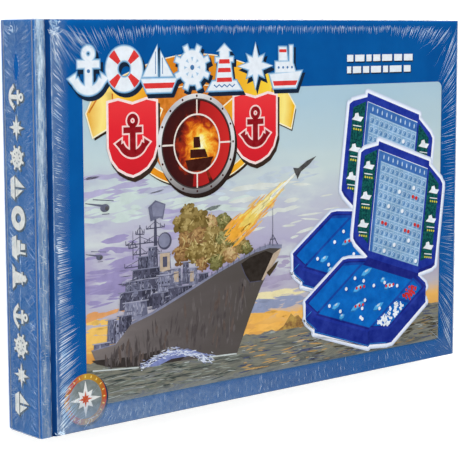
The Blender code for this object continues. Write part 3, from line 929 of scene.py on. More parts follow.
def paint_aircraft(picture):
    """The rocket, and two helicopters far off."""
    steel = plain_print("missile_print", (86, 84, 84), 16)
    rocket = [(186.4, 133.8), (188, 131.2), (199, 137.4), (205, 142.3), (197, 139.8)]
    fins = [[(187, 133.5), (185.4, 136.2), (190.5, 135.6)], [(188.2, 131.6), (189, 128.9), (192, 133.4)]]
    picture.add(steel, [rocket, *fins])
    craft = plain_print("aircraft_print", (104, 106, 124), 14)
    for u, v, size in ((44, 122.5, 1.0), (40, 95.5, 0.72)):
        shapes = [arc(u, v, 3.2 * size, points=16, flatten=0.7)]
        shapes += stroke([(u, v + size), (u - 13 * size, v + 3.4 * size)], 1.5 * size, taper=0.3)
        shapes += stroke([(u - 8 * size, v + 5.2 * size), (u + 6 * size, v + 3.6 * size)], 0.5 * size)
        shapes += stroke([(u - 2 * size, v - 3.4 * size), (u + 3 * size, v - 3.4 * size)], 0.45 * size)
        picture.add(craft, shapes)
        picture.add(steel, [arc(u + 1.4 * size, v - 0.3, 1.3 * size, points=10)])


def make_picture():
    picture = Painting("print_picture", PICTURE_LEVEL)
    picture.ink("panel_shade", (24, 88, 140), [shift(rounded_panel(), 0.9, -0.9)])
    rng = random.Random(11)
    paint_sky(picture, rng)
    paint_sea(picture, rng)
    paint_smoke(picture, rng)
    paint_flame(picture, rng)
    paint_aircraft(picture)
    paint_warship(picture, rng)
    paint_foam(picture, rng)
    picture.finish()


def shield(u, v, width, height):
    """A crest: a flat top with a small dip, upright sides and a broad point below."""
    half = [(0, 0.44), (0.3, 0.5), (0.5, 0.47), (0.5, -0.12), (0.43, -0.28), (0.3, -0.4), (0.13, -0.47)]
    right = [(u + a * width, v + b * height) for a, b in half]
    left = [(u - a * width, v + b * height) for a, b in half[1:]]
    return [*right, (u, v - 0.5 * height), *left[::-1]]


def paint_ribbon(title, dark):
    """The gold arch, its two forked tails and its inner folds, and the swoosh below."""
    parts = [*RIBBON_TAILS, *RIBBON_INNER]
    arch = [(42 + i * 5.2, 179 + 18 * math.sin(math.pi * i / 26)) for i in range(27)]
    swoosh = stroke(arc(PORTHOLE[0], 172, 52, 222, 318, 30, 0.76), 3.6)
    wider = stroke(arch, 18.2) + stroke(arc(PORTHOLE[0], 172, 52, 220, 320, 30, 0.76), 5.0)
    gold = gradient_print("gold_print", "X", 32, 186, GOLD_STOPS, 0.1)
    cream = plain_print("ribbon_cream", (255, 240, 206), 6)
    title.add(dark, [shift(part, 1.2, -2.0) for part in parts + swoosh])
    title.ink("ribbon_back", (214, 128, 40), [arc(PORTHOLE[0], 166, 35, points=48)], 16)
    title.add(cream, [grow(part, 0.9) for part in parts] + wider)
    title.add(gold, [*parts, *stroke(arch, 17.0), *swoosh])
    folds = stroke([(50, 170), (50, 185)], 1.0) + stroke([(168, 170), (168, 185)], 1.0)
    title.ink("ribbon_fold", (206, 122, 40), folds + stroke([(40, 183), (34, 175)], 1.0), 14)


def paint_crests(title, dark):
    """Two red crests, each with an anchor."""
    crests = (shield(63.6, 160.2, 33, 41.5), shield(154.6, 161.6, 33, 40))
    title.add(dark, [shift(grow(crest, 1.6), 1.3, -2.4) for crest in crests])
    title.ink("crest_rim", (250, 226, 220), [grow(crest, 1.5) for crest in crests], 6)
    stops = [(0, (214, 34, 46)), (0.6, (232, 42, 54)), (1, (238, 62, 66))]
    title.add(gradient_print("crest_red", "Y", 138, 182, stops, 0.15), crests)
    for name, colour, margin, spread in (("rim", (250, 214, 208), 1.0, 6), ("red", (150, 20, 30), 0.0, 10)):
        shapes = []
        for place in ((63.6, 161), (154.6, 162)):
            shapes += icon_shapes(anchor_icon(), *place, 0.92, margin)
        title.ink(f"charge_{name}", colour, shapes, spread)


def paint_icon_row(title, shadow):
    """Seven white icons, each rimmed with pale blue and with a shadow to its lower right."""
    icons = (anchor_icon(), lifebuoy_icon(), sailboat_icon(), wheel_icon(), lighthouse_icon(), star_icon(),
             ship_icon())
    places = [(34.2 + i * 24.1, 197.4 + 0.8 * (i % 2)) for i in range(len(icons))]

    def row(margin, du=0.0, dv=0.0):
        shapes = []
        for icon, (u, v) in zip(icons, places):
            shapes += icon_shapes(icon, u + du, v + dv, 1.0, margin)
        return shapes

    title.add(shadow, row(1.3, 1.5, -2.2))
    title.ink("icon_rim", (112, 166, 204), row(1.1), 10)
    title.ink("icon_glint", (190, 212, 226), row(0.5), 5)
    title.ink("icon_white", WHITE, row(0.0), 5)
    anchor, ring, boat, wheel, tower, _, ship = places
    title.ink("icon_red", (226, 62, 60), red_details(ring, boat, tower, ship), 6)
    title.ink("icon_blue", (74, 124, 172), blue_details(anchor, boat, wheel, tower, ship), 8)


def make_headline():
    """Where the title was: white nautical icons over a gold ribbon, and a porthole between two crests."""
    title = Painting("print_headline", TITLE_LEVEL)
    dark = plain_print("headline_shadow", (58, 42, 34), 6)
    blue_shadow = plain_print("icon_shadow", SHADOW, 5)
    paint_ribbon(title, dark)
    paint_crests(title, dark)
    paint_icon_row(title, blue_shadow)
    paint_porthole(title)
    paint_bars(title, blue_shadow)
    title.finish()


def paint_bars(title, shadow):
    """Plain bars where two lines of small print were."""
    bars = []
    for v, widths in ((199.6, (6, 9, 5, 7, 10, 8, 9)), (192.4, (4, 8, 6, 10, 5, 12, 7))):
        u = 231.0
        for width in widths:
            bars.append(rectangle(u, v, width * 0.92, 4.2))
            u += width + 1.1
    title.add(shadow, [shift(bar, 0.6, -0.7) for bar in bars])
    title.ink("bar_white", WHITE, bars, 4)


def fire_print():
    """Fire seen through a round window: white-hot near the middle, red-black towards the rim."""
    surface = printed("porthole_fire")
    centre = on_front(PORTHOLE[0] + 4, PORTHOLE[1] - 1, 0)
    offset = surface.node("VectorMath", Vector=surface.place)
    offset.operation = "SUBTRACT"
    offset.inputs[1].default_value = centre
    length = surface.node("VectorMath", Vector=offset.outputs[0])
    length.operation = "LENGTH"
    away = surface.span(length.outputs["Value"], 0, 28 * MM)
    rough = surface.noise(150.0, 6, 0.62, distortion=0.8)
    surface.colour(surface.ramp(surface.wobbled(away, rough, -0.9), FIRE_STOPS))
    return surface.material


def round_marks(u, v, radius, reach, count, width):
    """Short strokes that point outwards, evenly spaced round a circle."""
    shapes = []
    for i in range(count):
        along = Vector((math.cos(i * math.tau / count), math.sin(i * math.tau / count)))
        start = Vector((u, v)) + along * radius
        shapes += stroke([tuple(start), tuple(start + along * reach)], width)
    return shapes


def paint_porthole(title):
    u, v = PORTHOLE
    title.ink("porthole_shadow", (46, 32, 28), [arc(u + 1.4, v - 2.2, 29.2, points=64)], 4)
    title.add(gradient_print("porthole_steel", "Y", 126, 184, STEEL_STOPS, 0.1), [arc(u, v, 28.8, points=64)])
    title.ink("porthole_groove", (70, 60, 60), [arc(u, v, 26.0, points=64)], 8)
    title.add(fire_print(), [arc(u, v, 25.2, points=64)])
    stops = [(0, (70, 20, 22)), (0.5, (176, 34, 34)), (1, (214, 46, 44))]
    ring = stroke(arc(u, v, 20.9, -62, 84, 34), 7.4) + stroke(arc(u, v, 20.9, 262, 292, 10), 7.4)
    title.add(gradient_print("porthole_red", "X", 84, 136, stops, 0.2), ring)
    dark = plain_print("porthole_ship", (66, 26, 20), 8)
    title.add(dark, [shift(outline, u + 1.5, v - 5.5, 0.82) for _, outline, *_ in ship_icon()[:3]])
    rivets = []
    for k in range(16):
        turn = k * math.pi / 8
        rivets.append(arc(u + 27.4 * math.cos(turn), v + 27.4 * math.sin(turn), 0.7, points=10))
    title.add(dark, rivets)
    lines = stroke(arc(u, v, 16.9, points=48), 1.0, True) + round_marks(u, v, 17.0, 8.4, 4, 1.0)
    title.ink("porthole_white", (240, 226, 214), lines, 6)


def make_badge():
    """A round compass badge low on the left."""
    badge = Painting("print_badge", TITLE_LEVEL)
    u, v = 29.0, 17.6
    badge.ink("badge_shadow", (30, 52, 84), [arc(u + 0.8, v - 0.9, 14.6, points=48)], 4)
    badge.add(gradient_print("badge_ring", "X", 14, 44, BADGE_STOPS, 0.25), [arc(u, v, 14.3, points=48)])
    badge.ink("badge_ground", (132, 140, 138), [arc(u, v, 11.0, points=48)], 14)
    badge.ink("badge_tick", (246, 220, 120), round_marks(u, v, 12.0, 1.4, 20, 0.7), 6)
    badge.ink("badge_rose", (236, 234, 228), icon_shapes(star_icon(), u, v, 0.8), 8)
    badge.ink("badge_heart", (206, 92, 52), icon_shapes(star_icon(), u, v, 0.36), 10)
    badge.finish()


# ---------------------------------------------------------------- the pictured cases on the cover

# A case drawn as a flat picture: where its hinge's left end lies, what one unit of width, depth and lid
# height is on the cover, and how far its shell reaches down, in millimetres
HINGE_END = (236.0, 79.5)
ALONG_WIDTH = (77.5, -25.0)
ALONG_DEPTH = (-47.0, -32.5)
ALONG_LID = (9.5, 74.0)
SHELL_DROP = 10.5
BACK_CASE_SHIFT = (-10.5, 31.0)
LID_COLUMN = 0.0555
LID_ROW = 0.0775

# The pale glow round each case: how far it reaches, and its colour
HALOS = ((2.8, (204, 212, 226)), (2.3, (220, 226, 238)), (1.8, (234, 238, 246)), (1.3, (246, 247, 250)))

# Shares of the tray's width and depth: its sea, its left wing, and the pockets for white and red pegs
TRAY_FIELDS = (
    [(0.205, 0.12), (0.795, 0.12), (0.795, 0.95), (0.205, 0.95)],
    [(0.035, 0.22), (0.18, 0.13), (0.18, 0.93), (0.035, 0.85)],
    [(0.82, 0.46), (0.965, 0.46), (0.965, 0.84), (0.82, 0.92)],
    [(0.82, 0.12), (0.965, 0.2), (0.965, 0.42), (0.82, 0.42)],
)
LID_CARD = [(0.045, 0.19), (0.18, 0.115), (0.18, 0.925), (0.045, 0.835)]
CARD_BOAT = [(-5.0, -0.6), (3.2, -2.4), (5.4, 0.4), (1.6, 1.0), (0.8, 3.4), (-2.0, 3.0), (-2.4, 1.2)]

# Ships in the tray: shares of width and depth, and decks; each is drawn in layers of
# colour, rise, size and width
TRAY_BOATS = (
    (0.3, 0.2, 3), (0.36, 0.45, 3), (0.5, 0.7, 4), (0.62, 0.3, 2), (0.3, 0.78, 2), (0.7, 0.62, 3),
    (0.52, 0.24, 1), (0.44, 0.9, 1),
)
BOAT_LAYERS = (("ship_dark", -0.6, 1.12, 3.4), ("ship", 0.0, 1.0, 2.9), ("ring", 0.7, 0.4, 1.3))

PICTURE_COLOURS = {
    "rim": (34, 56, 158),
    "side": (30, 50, 146),
    "deep": (28, 40, 132),
    "wall": (24, 74, 164),
    "field": (0, 106, 190),
    "light": (44, 138, 204),
    "card": (10, 78, 84),
    "grid": (140, 178, 208),
    "header": (66, 116, 182),
    "hole": (92, 138, 184),
    "ring": (192, 214, 230),
    "ship": (84, 176, 226),
    "ship_dark": (30, 112, 180),
    "white": (240, 242, 242),
    "red": (214, 50, 44),
    "yellow": (214, 204, 70),
}


def case_rim(inner=0.0):
    """A case's outline as (width, depth) shares, with stepped wings and cut corners."""
    wing = 0.19
    step = 0.035
    slope = 0.08
    cut = 0.035
    half = [(wing, 0), (wing, step), (cut, step + slope), (0, step + slope + cut)]
    side = half + [(w, 1 - d) for w, d in half[::-1]]
    rim = side + [(1 - w, 1 - d) for w, d in side]
    return [(0.5 + (w - 0.5) * (1 - inner), 0.5 + (d - 0.5) * (1 - inner * 1.5)) for w, d in rim]


def shell_sides(rim, depth):
    """The side faces below a rim, and last the outline of their feet."""
    lower = shift(rim, 0.0, -SHELL_DROP * depth)
    corners = zip(rim, rim[1:] + rim[:1], lower, lower[1:] + lower[:1])
    return [[a, b, d, c] for a, b, c, d in corners] + [lower]


class PicturedCase:
    """Draws one open case, seen from above and the left."""

    def __init__(self, picture, paints, du, dv, rng):
        self.picture = picture
        self.paints = paints
        self.du = du
        self.dv = dv
        self.rng = rng
        self.tray = self.on_tray(case_rim())
        self.lid = self.on_lid(case_rim())
        self.tray_sides = shell_sides(self.tray, 1.0)
        self.lid_sides = shell_sides(self.lid, 0.22)

    def at(self, width, depth=0.0, lid=0.0):
        """The place on the cover of shares of width, depth and lid height."""
        u, v = HINGE_END
        for share, (du, dv) in zip((width, depth, lid), (ALONG_WIDTH, ALONG_DEPTH, ALONG_LID)):
            u += share * du
            v += share * dv
        return (u + self.du, v + self.dv)

    def on_tray(self, shares):
        return [self.at(w, d) for w, d in shares]

    def on_lid(self, shares):
        return [self.at(w, 0, h) for w, h in shares]

    def somewhere(self, low_w, high_w, low_d, high_d):
        """A random place in a part of the tray."""
        w = self.rng.uniform(low_w, high_w)
        d = self.rng.uniform(low_d, high_d)
        return self.at(w, d)

    def add(self, colour, shapes):
        self.picture.add(self.paints[colour], shapes)

    def silhouette(self):
        """The outlines that the halo follows."""
        joins = [[quad[0], quad[3], quad[2]] for quad in self.tray_sides[2:12]]
        return [self.tray, self.tray_sides[-1], self.lid, self.lid_sides[-1], *joins]

    def draw(self):
        self.add("side", self.tray_sides)
        self.add("light", stroke(shift(self.tray[3:11], 0.0, -SHELL_DROP * 0.93), 0.4))
        self.add("deep", [self.tray])
        self.add("rim", stroke(self.tray, 1.7, True))
        self.add("wall", [self.on_tray(case_rim(0.06))])
        self.add("field", [self.on_tray(part) for part in TRAY_FIELDS])
        self.add("deep", [self.on_tray(rectangle(0.205, 0.012, 0.59, 0.108))])
        self.draw_fleet()
        self.draw_tray_pegs()
        self.add("deep", self.lid_sides)
        self.add("rim", [self.lid])
        self.draw_target()
        self.draw_marks()

    def draw_fleet(self):
        """The tray's holes, and each ship as a dark dab, a light one on it and a glint."""
        holes = [(0.235 + 0.059 * i, 0.16 + 0.083 * j) for i in range(10) for j in range(10)]
        self.add("wall", [arc(*spot, 0.34, points=6, flatten=0.6) for spot in self.on_tray(holes)])
        across = ALONG_WIDTH[0] - 1.6 * ALONG_DEPTH[0]
        up = ALONG_WIDTH[1] - 1.6 * ALONG_DEPTH[1]
        heading = math.degrees(math.atan2(up, across)) + 12
        for colour, rise, size, width in BOAT_LAYERS:
            boats = []
            for w, d, decks in TRAY_BOATS:
                u, v = self.at(w, d)
                boats.append(dab(u, v + rise, (2.2 + 2.7 * decks) * size, heading, width))
            self.add(colour, boats)

    def draw_tray_pegs(self):
        """White misses with a shadow, loose white and red pegs in the pockets, and hits on three ships."""
        pegs = [arc(*self.somewhere(0.24, 0.76, 0.18, 0.9), 1.2, points=12) for _ in range(15)]
        self.add("wall", [shift(peg, 0.5, -0.8) for peg in pegs])
        for _ in range(46):
            start = self.somewhere(0.835, 0.95, 0.5, 0.86)
            turn = self.rng.uniform(0, 3.1)
            end = (start[0] + 2.6 * math.cos(turn), start[1] + 2.0 * math.sin(turn))
            pegs += stroke([start, end], 0.8)
            pegs.append(arc(*start, 0.95, points=9))
        self.add("white", pegs)
        reds = [arc(*self.somewhere(0.835, 0.95, 0.2, 0.4), 0.95, points=7) for _ in range(34)]
        for w, d in ((0.62, 0.3), (0.36, 0.45), (0.5, 0.7)):
            for step in (-0.014, 0.014, 0.04):
                reds.append(arc(*self.at(w + step, d - step), 1.0, points=8))
        self.add("red", reds)

    def draw_target(self):
        """The lid's cards, and its grid with margins, lines and a ringed hole in every cell."""
        self.add("card", [self.on_lid(LID_CARD), self.on_lid([(1 - w, h) for w, h in LID_CARD])])
        self.add("grid", [self.on_lid(rectangle(0.2, 0.06, 0.6, 0.87))])
        margins = (rectangle(0.2, 0.845, 0.6, 0.08), rectangle(0.2, 0.06, 0.035, 0.785))
        self.add("header", [self.on_lid(part) for part in margins])
        lines = []
        for i in range(1, 11):
            level = 0.062 + LID_ROW * i
            column = 0.2375 + LID_COLUMN * i
            lines += stroke(self.on_lid([(0.237, level), (0.795, level)]), 0.35)
            lines += stroke(self.on_lid([(column, 0.065), (column, 0.84)]), 0.3)
        spots = self.target_spots()
        rings = []
        for spot in spots:
            rings += stroke(arc(*spot, 1.4, 20, 250, 8), 0.5)
        self.add("hole", [shift(arc(*spot, 1.75, points=10), 0.3, -0.5) for spot in spots])
        self.add("ring", rings)
        self.add("grid", [arc(*spot, 0.8, points=8) for spot in spots])
        heads = self.on_lid([(0.265 + LID_COLUMN * i, 0.885) for i in range(10)])
        self.add("ring", lines + [dab(*head, 3.4, 84, 1.1) for head in heads])
        self.add("white", stroke(self.on_lid([(0.2, 0.06), (0.2, 0.93), (0.8, 0.93)]), 0.45))

    def target_spots(self):
        cells = [(0.265 + LID_COLUMN * i, 0.1 + LID_ROW * j) for i in range(10) for j in range(10)]
        return self.on_lid(cells)

    def draw_marks(self):
        """Misses and pairs of hits on the target grid, and the ships with their dots on the cards."""
        spots = self.target_spots()
        whites = []
        reds = []
        for _ in range(13):
            spot = self.rng.choice(spots)
            if self.rng.random() < 0.35:
                reds += [arc(*spot, 1.3, points=10), arc(spot[0] + 3.2, spot[1] - 1.1, 1.3, points=10)]
            else:
                whites.append(arc(*spot, 1.4, points=10))
        dots = []
        for w in (0.1, 0.9):
            for h in (0.76, 0.5, 0.26):
                u, v = self.at(w, 0, h)
                whites.append(shift(CARD_BOAT, u, v))
                whites += stroke([(u - 3.8, v - 4.3), (u + 3.6, v - 5.5)], 0.6)
                dots += [arc(u - 3 + 2 * k, v - 6.6 - 0.35 * k, 0.75, points=7) for k in range(4)]
        self.add("white", whites)
        self.add("red", reds)
        self.add("yellow", dots)


def make_pictured_cases():
    paints = {}
    for name, colour in PICTURE_COLOURS.items():
        paints[name] = plain_print(f"picture_{name}", colour, 12, 170.0)
    stops = [(0.4, (6, 58, 66)), (0.6, (24, 104, 96))]
    paints["card"] = mottled_print("picture_card", stops, 620.0, detail=2)
    picture = Painting("print_cases", TITLE_LEVEL)
    for place in (BACK_CASE_SHIFT, (0.0, 0.0)):
        case = PicturedCase(picture, paints, *place, random.Random(5))
        for i, (margin, colour) in enumerate(HALOS):
            picture.ink(f"halo_{i}", colour, glow(case.silhouette(), margin), 2)
        case.draw()
    picture.finish()


def make_spine_print():
    """Cream nautical icons down the spine, turned to be read with the spine up."""
    spine = Painting("print_spine_icons", 3, on_spine, "carton")
    icons = (anchor_icon(), star_icon(), wheel_icon(), sailboat_icon(), lifebuoy_icon(), ship_icon(),
             lighthouse_icon(), anchor_icon(), wheel_icon(), star_icon(), sailboat_icon())
    inks = (("shadow", (62, 72, 84), 8, 0.7, 0.9), ("cream", (240, 234, 222), 12, 0.0, 0.0))
    for name, colour, variation, margin, drop in inks:
        shapes = []
        for i, icon in enumerate(icons):
            level = 184 - (5.0 if i > 6 else 0.0) - i * 16.3
            for shape in icon_shapes(icon, 0, 0, 0.54, margin):
                shapes.append([(13.2 + v + drop, level - u - drop * 0.4) for u, v in shape])
        spine.ink(f"spine_{name}", colour, shapes, variation)
    spine.finish()


# ---------------------------------------------------------------- boards, crease and film


def recolour(names, material):
    """Gives CAD nodes one material in all of their slots."""
    for name in names:
        for slot in nodes[name].material_slots:
            slot.material = material


def make_boards():
    recolour(("cover_board", "hinge_strip"), board_material("board_blue_outer", -1))
    recolour(("spine_board", "back_board"), board_material("board_blue_back", 1))
    recolour(("carton_tray",), grey_board())
    leaflet = Surface("leaflet_paper", 0.75)
    tooth = leaflet.noise(900.0, 5, 0.65)
    leaflet.colour(leaflet.ramp(tooth, [(0.3, (226, 224, 216)), (0.7, (242, 240, 234))]))
    leaflet.bump(tooth, 0.00005)
    recolour(("rules_leaflet",), leaflet.material)


def quads(columns, rows):
    """The faces of a grid of points, row after row."""
    faces = []
    for j in range(rows):
        for i in range(columns):
            a = j * (columns + 1) + i
            faces.append((a, a + 1, a + columns + 2, a + columns + 1))
    return faces


def make_crease():
    """The pressed paper between hinge strip and cover: a soft channel."""
    start = STRIP_END - 0.2 * MM
    end = COVER_START + 0.2 * MM
    rows = 24
    columns = 90
    vertices = []
    for j in range(columns + 1):
        y = BOTTOM + (TOP - BOTTOM) * j / columns
        for i in range(rows + 1):
            share = i / rows
            crumple = 0.12 * MM * noise.noise(Vector((share * 2, y * 120, 3)))
            sag = (1.25 * MM + crumple) * math.sin(math.pi * share) ** 1.3
            vertices.append((start + (end - start) * share, y, FRONT - 0.05 * MM - sag))
    # The crease is printed a darker blue than the board: painted shade in the groove.
    surface = board_blue("crease_paper", (0, 44, 96), (4, 60, 120))
    surface.bump(surface.noise(500.0, 5, 0.6, surface.scaled(2, 0.4, 1)), 0.0002)
    crease = add_mesh("crease_paper", vertices, quads(rows, columns), surface.material, None, True)
    crease.modifiers.new("thickness", "SOLIDIFY").thickness = -0.25 * MM
    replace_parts(crease, "crease_strip")
    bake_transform(crease)


def room(u):
    """The share of the film's relief that fits: none where the opened cover lies on the strip."""
    return min(max((u - FLAT_FILM_END) / RELIEF_RUN_IN, 0.0), 1.0)


def edge_ripple(u, v):
    """How far the film stands off the front here: tight gathers along the edges that fade inwards."""
    height = 0.0
    for along, inward in ((u, HEIGHT - v), (u, v), (v, LENGTH - u), (v, u - 9)):
        fade = math.exp(-max(0.0, inward) / GATHER_REACH)
        if fade > 0.02:
            ridge = noise.noise(Vector((along * 0.42 + inward * 0.03, inward * 0.05, along * 0.01)))
            height += fade * (0.5 - abs(ridge)) * 0.9
    swell = noise.noise(Vector((u * 0.016, v * 0.022, 5.0)))
    return (max(0.0, height) * 0.5 + 0.16 + 0.16 * swell) * room(u)


def film_sheet(name, columns, rows, place, material, body):
    """A sheet whose place(i, j) gives the point at shares i and j along its two sides."""
    vertices = [place(i / columns, j / rows) for j in range(rows + 1) for i in range(columns + 1)]
    sheet = add_mesh(name, vertices, quads(columns, rows), material, body, True)
    return sheet


def front_film_print():
    """Milky low on the left, along the groove, and faintly along the bottom and the right; the pale band low
    down is partly a painted reflection, and the one beside the groove partly a painted highlight.
    """
    surface = Film("film_front_clear", (1, 1, 1), ((138, 164, 200), (166, 190, 218)))
    low = surface.band("Y", BOTTOM, -2, -1, 9, 17)
    leftward = surface.span(surface.axis("X"), LEFT + 250 * MM, LEFT + 60 * MM, 0.25, 1.0)
    upward = surface.span(surface.axis("Y"), BOTTOM, TOP, 0.35, 1.1)
    groove = surface.times(surface.band("X", LEFT, 8.8, 9.6, 12, 21), upward)
    corner = surface.patch((6, 8, 12, 32), (-2, -1, 20, 80))
    right = surface.patch((316, 326, 336, 338), (-2, -1, 20, 130))
    # Painted reflection along the bottom and painted highlight beside the groove, together with the film's
    # own milkiness.
    haze_and_sheen = surface.times(low, leftward)
    for share, zone in ((0.85, groove), (0.12, corner), (0.12, right)):
        haze_and_sheen = surface.math("MULTIPLY_ADD", zone, share, haze_and_sheen)
    return surface.milky(surface.times(haze_and_sheen, 0.3), 0.18)


def make_front_film():
    """The sheet over the cover: taut in the middle, gathered at its edges, turned down over three."""
    start = COVER_EDGE + 0.3
    wrap = 2.0
    stand_off = 0.25 * MM

    def place(i, j):
        u = start + (LENGTH - start + wrap) * i
        v = -wrap + (HEIGHT + 2 * wrap) * j
        on_u = min(u, LENGTH)
        on_v = min(max(v, 0.0), HEIGHT)
        over = max(0.0, u - LENGTH, v - HEIGHT, -v)
        lift = 0.0 if over else edge_ripple(on_u, on_v) * MM
        x = LEFT + on_u * MM + stand_off * min(1.0, max(0.0, u - LENGTH))
        y = BOTTOM + on_v * MM
        y += stand_off * (min(1.0, max(0.0, v - HEIGHT)) - min(1.0, max(0.0, -v)))
        return (x, y, FRONT + FILM_LIFT + lift - over * MM)

    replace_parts(film_sheet("front_film", 290, 200, place, front_film_print(), "cover"), "film_front")


def crease_highlight_print(name, thin, thick):
    """The bright line where film is pinched, stronger in some places than others: partly the film's own
    whitening, partly a painted highlight.
    """
    surface = Surface(name, 0.3)
    patches = surface.noise(160.0, 3)
    surface.colour(surface.ramp(patches, [(0.35, (150, 190, 228)), (0.65, (226, 238, 248))]))
    alpha = surface.span(surface.noise(70.0, 4, 0.6), 0.34, 0.66, thin, thick)
    surface.feed(surface.shader.inputs["Alpha"], alpha)
    return surface.material


def add_creases(name, lines, material, body, place):
    """Each line is (u, v, du, dv, width, peak): its start, reach, width, and where along it it is widest."""
    vertices = []
    faces = []
    for u, v, du, dv, width, peak in lines:
        reach = Vector((du, dv)).normalized()
        across = (-reach.y * width / 2, reach.x * width / 2)
        middle = (u + du * peak, v + dv * peak)
        base = len(vertices)
        vertices.append(place(u, v, 0.0))
        vertices.append(place(middle[0] - across[0], middle[1] - across[1], 0.0))
        vertices.append(place(u + du, v + dv, 0.0))
        vertices.append(place(middle[0] + across[0], middle[1] + across[1], 0.0))
        vertices.append(place(*middle, 0.55 * width))
        for a, b in ((0, 1), (1, 2), (2, 3), (3, 0)):
            faces.append((base + a, base + b, base + 4))
    add_mesh(name, vertices, faces, material, body)


def lean(rng, position, extent, reach):
    """How far a crease slants along an edge: away from the nearest corner, more so close to it."""
    near = min(position, extent - position)
    sign = 1 if position < extent / 2 else -1
    return sign * reach * (max(0.0, 1 - near / 80) ** 1.3 * 1.5 + 0.06) + rng.uniform(-0.1, 0.1) * reach


def scrunch(rng, u, v, wide, high, count):
    """A small crushed wad of film at a corner."""
    lines = []
    for _ in range(count):
        turn = rng.uniform(0, math.pi)
        reach = rng.uniform(1.0, 4.5)
        start = (u + rng.uniform(0, wide), v + rng.uniform(0, high))
        lines.append((*start, reach * math.cos(turn), reach * math.sin(turn), rng.uniform(0.3, 0.9), 0.5))
    return lines


def top_creases(rng):
    """Evenly spaced, and longer towards the corners."""
    lines = []
    count = 330
    for i in range(count):
        u = 18 + i * (LENGTH - 24) / count + rng.uniform(-0.3, 0.3)
        ends = max(0.0, 1 - min(u - 18, LENGTH - u) / 70)
        reach = rng.uniform(2.6, 5.6) * (1 + 1.5 * ends)
        v = HEIGHT - rng.uniform(2.6, 3.8 + 4 * ends)
        lines.append((u, v, lean(rng, u, LENGTH, reach) * 0.8, -reach, rng.uniform(0.16, 0.4), 0.35))
    return lines


def bottom_creases(rng):
    """Faint, at random."""
    lines = []
    for _ in range(170):
        u = rng.uniform(14, LENGTH - 3)
        reach = rng.uniform(1.5, 6)
        v = rng.uniform(0.5, 8)
        lines.append((u, v, lean(rng, u, LENGTH, reach), reach, rng.uniform(0.08, 0.22), 0.4))
    return lines


def right_creases(rng):
    """Evenly spaced and long."""
    lines = []
    count = 120
    for i in range(count):
        v = 2 + i * (HEIGHT - 4) / count + rng.uniform(-0.4, 0.4)
        reach = rng.uniform(8, 18)
        u = LENGTH - rng.uniform(0.3, 2.4)
        lines.append((u, v, -reach, lean(rng, v, HEIGHT, reach) * 1.3, rng.uniform(0.2, 0.36), 0.3))
    return lines


def left_creases(rng):
    """Short, on the upper part only."""
    lines = []
    for _ in range(120):
        v = rng.uniform(100, HEIGHT - 4)
        reach = rng.uniform(2, 7)
        u = COVER_EDGE + rng.uniform(0.5, 4)
        slant = lean(rng, v, HEIGHT, reach) - 0.2 * reach
        lines.append((u, v, reach, slant, rng.uniform(0.12, 0.36), 0.3))
    return lines


def corner_fan(rng, u, v, base, count):
    """Creases that spread out of a corner, from a base angle over a quarter turn."""
    lines = []
    for _ in range(count):
        turn = math.radians(base + rng.uniform(10, 80))
        near = rng.uniform(2, 20)
        reach = rng.uniform(6, 26)
        du = math.cos(turn)
        dv = math.sin(turn)
        lines.append((u + du * near, v + dv * near, du * reach, dv * reach, rng.uniform(0.08, 0.2), 0.3))
    return lines


def front_creases(rng):
    """Fine creases gathered along the cover's edges, leaning away from the nearest corner."""
    lines = top_creases(rng) + bottom_creases(rng) + right_creases(rng) + left_creases(rng)
    lines += corner_fan(rng, COVER_EDGE + 1, 2, 0, 10)
    lines += corner_fan(rng, LENGTH - 2, 3, 90, 12)
    lines += corner_fan(rng, LENGTH - 2, HEIGHT - 3, 180, 8)
    lines += corner_fan(rng, COVER_EDGE, HEIGHT - 2, 270, 40)
    lines += scrunch(rng, COVER_EDGE + 0.5, HEIGHT - 9, 5, 8, 46)
    return lines + scrunch(rng, COVER_EDGE, 0.2, 4, 1.5, 14)


def left_folds(rng):
    """Sharp folds from the groove outwards, level half way up and steeper towards the lower corner."""
    lines = []
    count = 100
    for i in range(count):
        share = 1 - i / count
        reach = rng.uniform(3, 8) + 10 * share * rng.uniform(0.6, 1.1)
        slope = (0.08 + 0.8 * share ** 1.6) * rng.uniform(0.85, 1.15)
        u = COVER_EDGE + rng.uniform(1.4, 3.2)
        v = 2.0 + i * 1.08 + rng.uniform(-0.4, 0.4)
        lines.append((u, v, reach, reach * slope, rng.uniform(0.3, 0.85), 0.14))
    return lines


def make_front_creases():
    def place(u, v, rise):
        height = edge_ripple(u, v) + 0.02 + rise * max(0.1, room(u))
        x = LEFT + min(max(u, 0.0), LENGTH) * MM
        y = BOTTOM + min(max(v, 0.0), HEIGHT) * MM
        return (x, y, FRONT + FILM_LIFT + height * MM)

    # Bright lines along the cover's edge beside the groove: painted highlights on its lip.
    ridge = []
    for v in range(0, 216, 9):
        for across in (0.5, 0.85):
            ridge.append((COVER_EDGE + across, v, 0.0, 12.0, 0.5, 0.5))
    crease = crease_highlight_print("film_crease", 0.42, 0.95)
    add_creases("front_film_creases", front_creases(random.Random(21)), crease, "cover", place)
    fold = crease_highlight_print("film_fold", 0.3, 0.85)
    add_creases("front_film_folds", left_folds(random.Random(8)), fold, "cover", place)
    add_creases("front_film_lip_highlight", ridge, crease_highlight_print("film_lip_highlight", 0.05, 0.4), "cover", place)


def spine_film_print():
    """A grey veil, bluer towards the front, with one lens-shaped window in it near the top."""
    surface = Film("film_spine", (1, 0.5, 1), ((100, 134, 160), (148, 174, 196)))
    up = surface.axis("Y")
    out = surface.axis("Z")
    along = surface.math("DIVIDE", surface.math("SUBTRACT", up, BOTTOM + 200 * MM), 8.5 * MM)
    across = surface.math("DIVIDE", surface.math("SUBTRACT", out, 15 * MM), 3.3 * MM)
    lengthwise = surface.math("POWER", surface.math("ABSOLUTE", along), 1.4)
    away = surface.math("ADD", lengthwise, surface.math("POWER", across, 2.0))
    front = surface.span(out, 21 * MM, 30 * MM, 1.0, 0.5)
    return surface.milky(surface.times(front, surface.span(away, 0.8, 1.1), 0.17), 0.3)


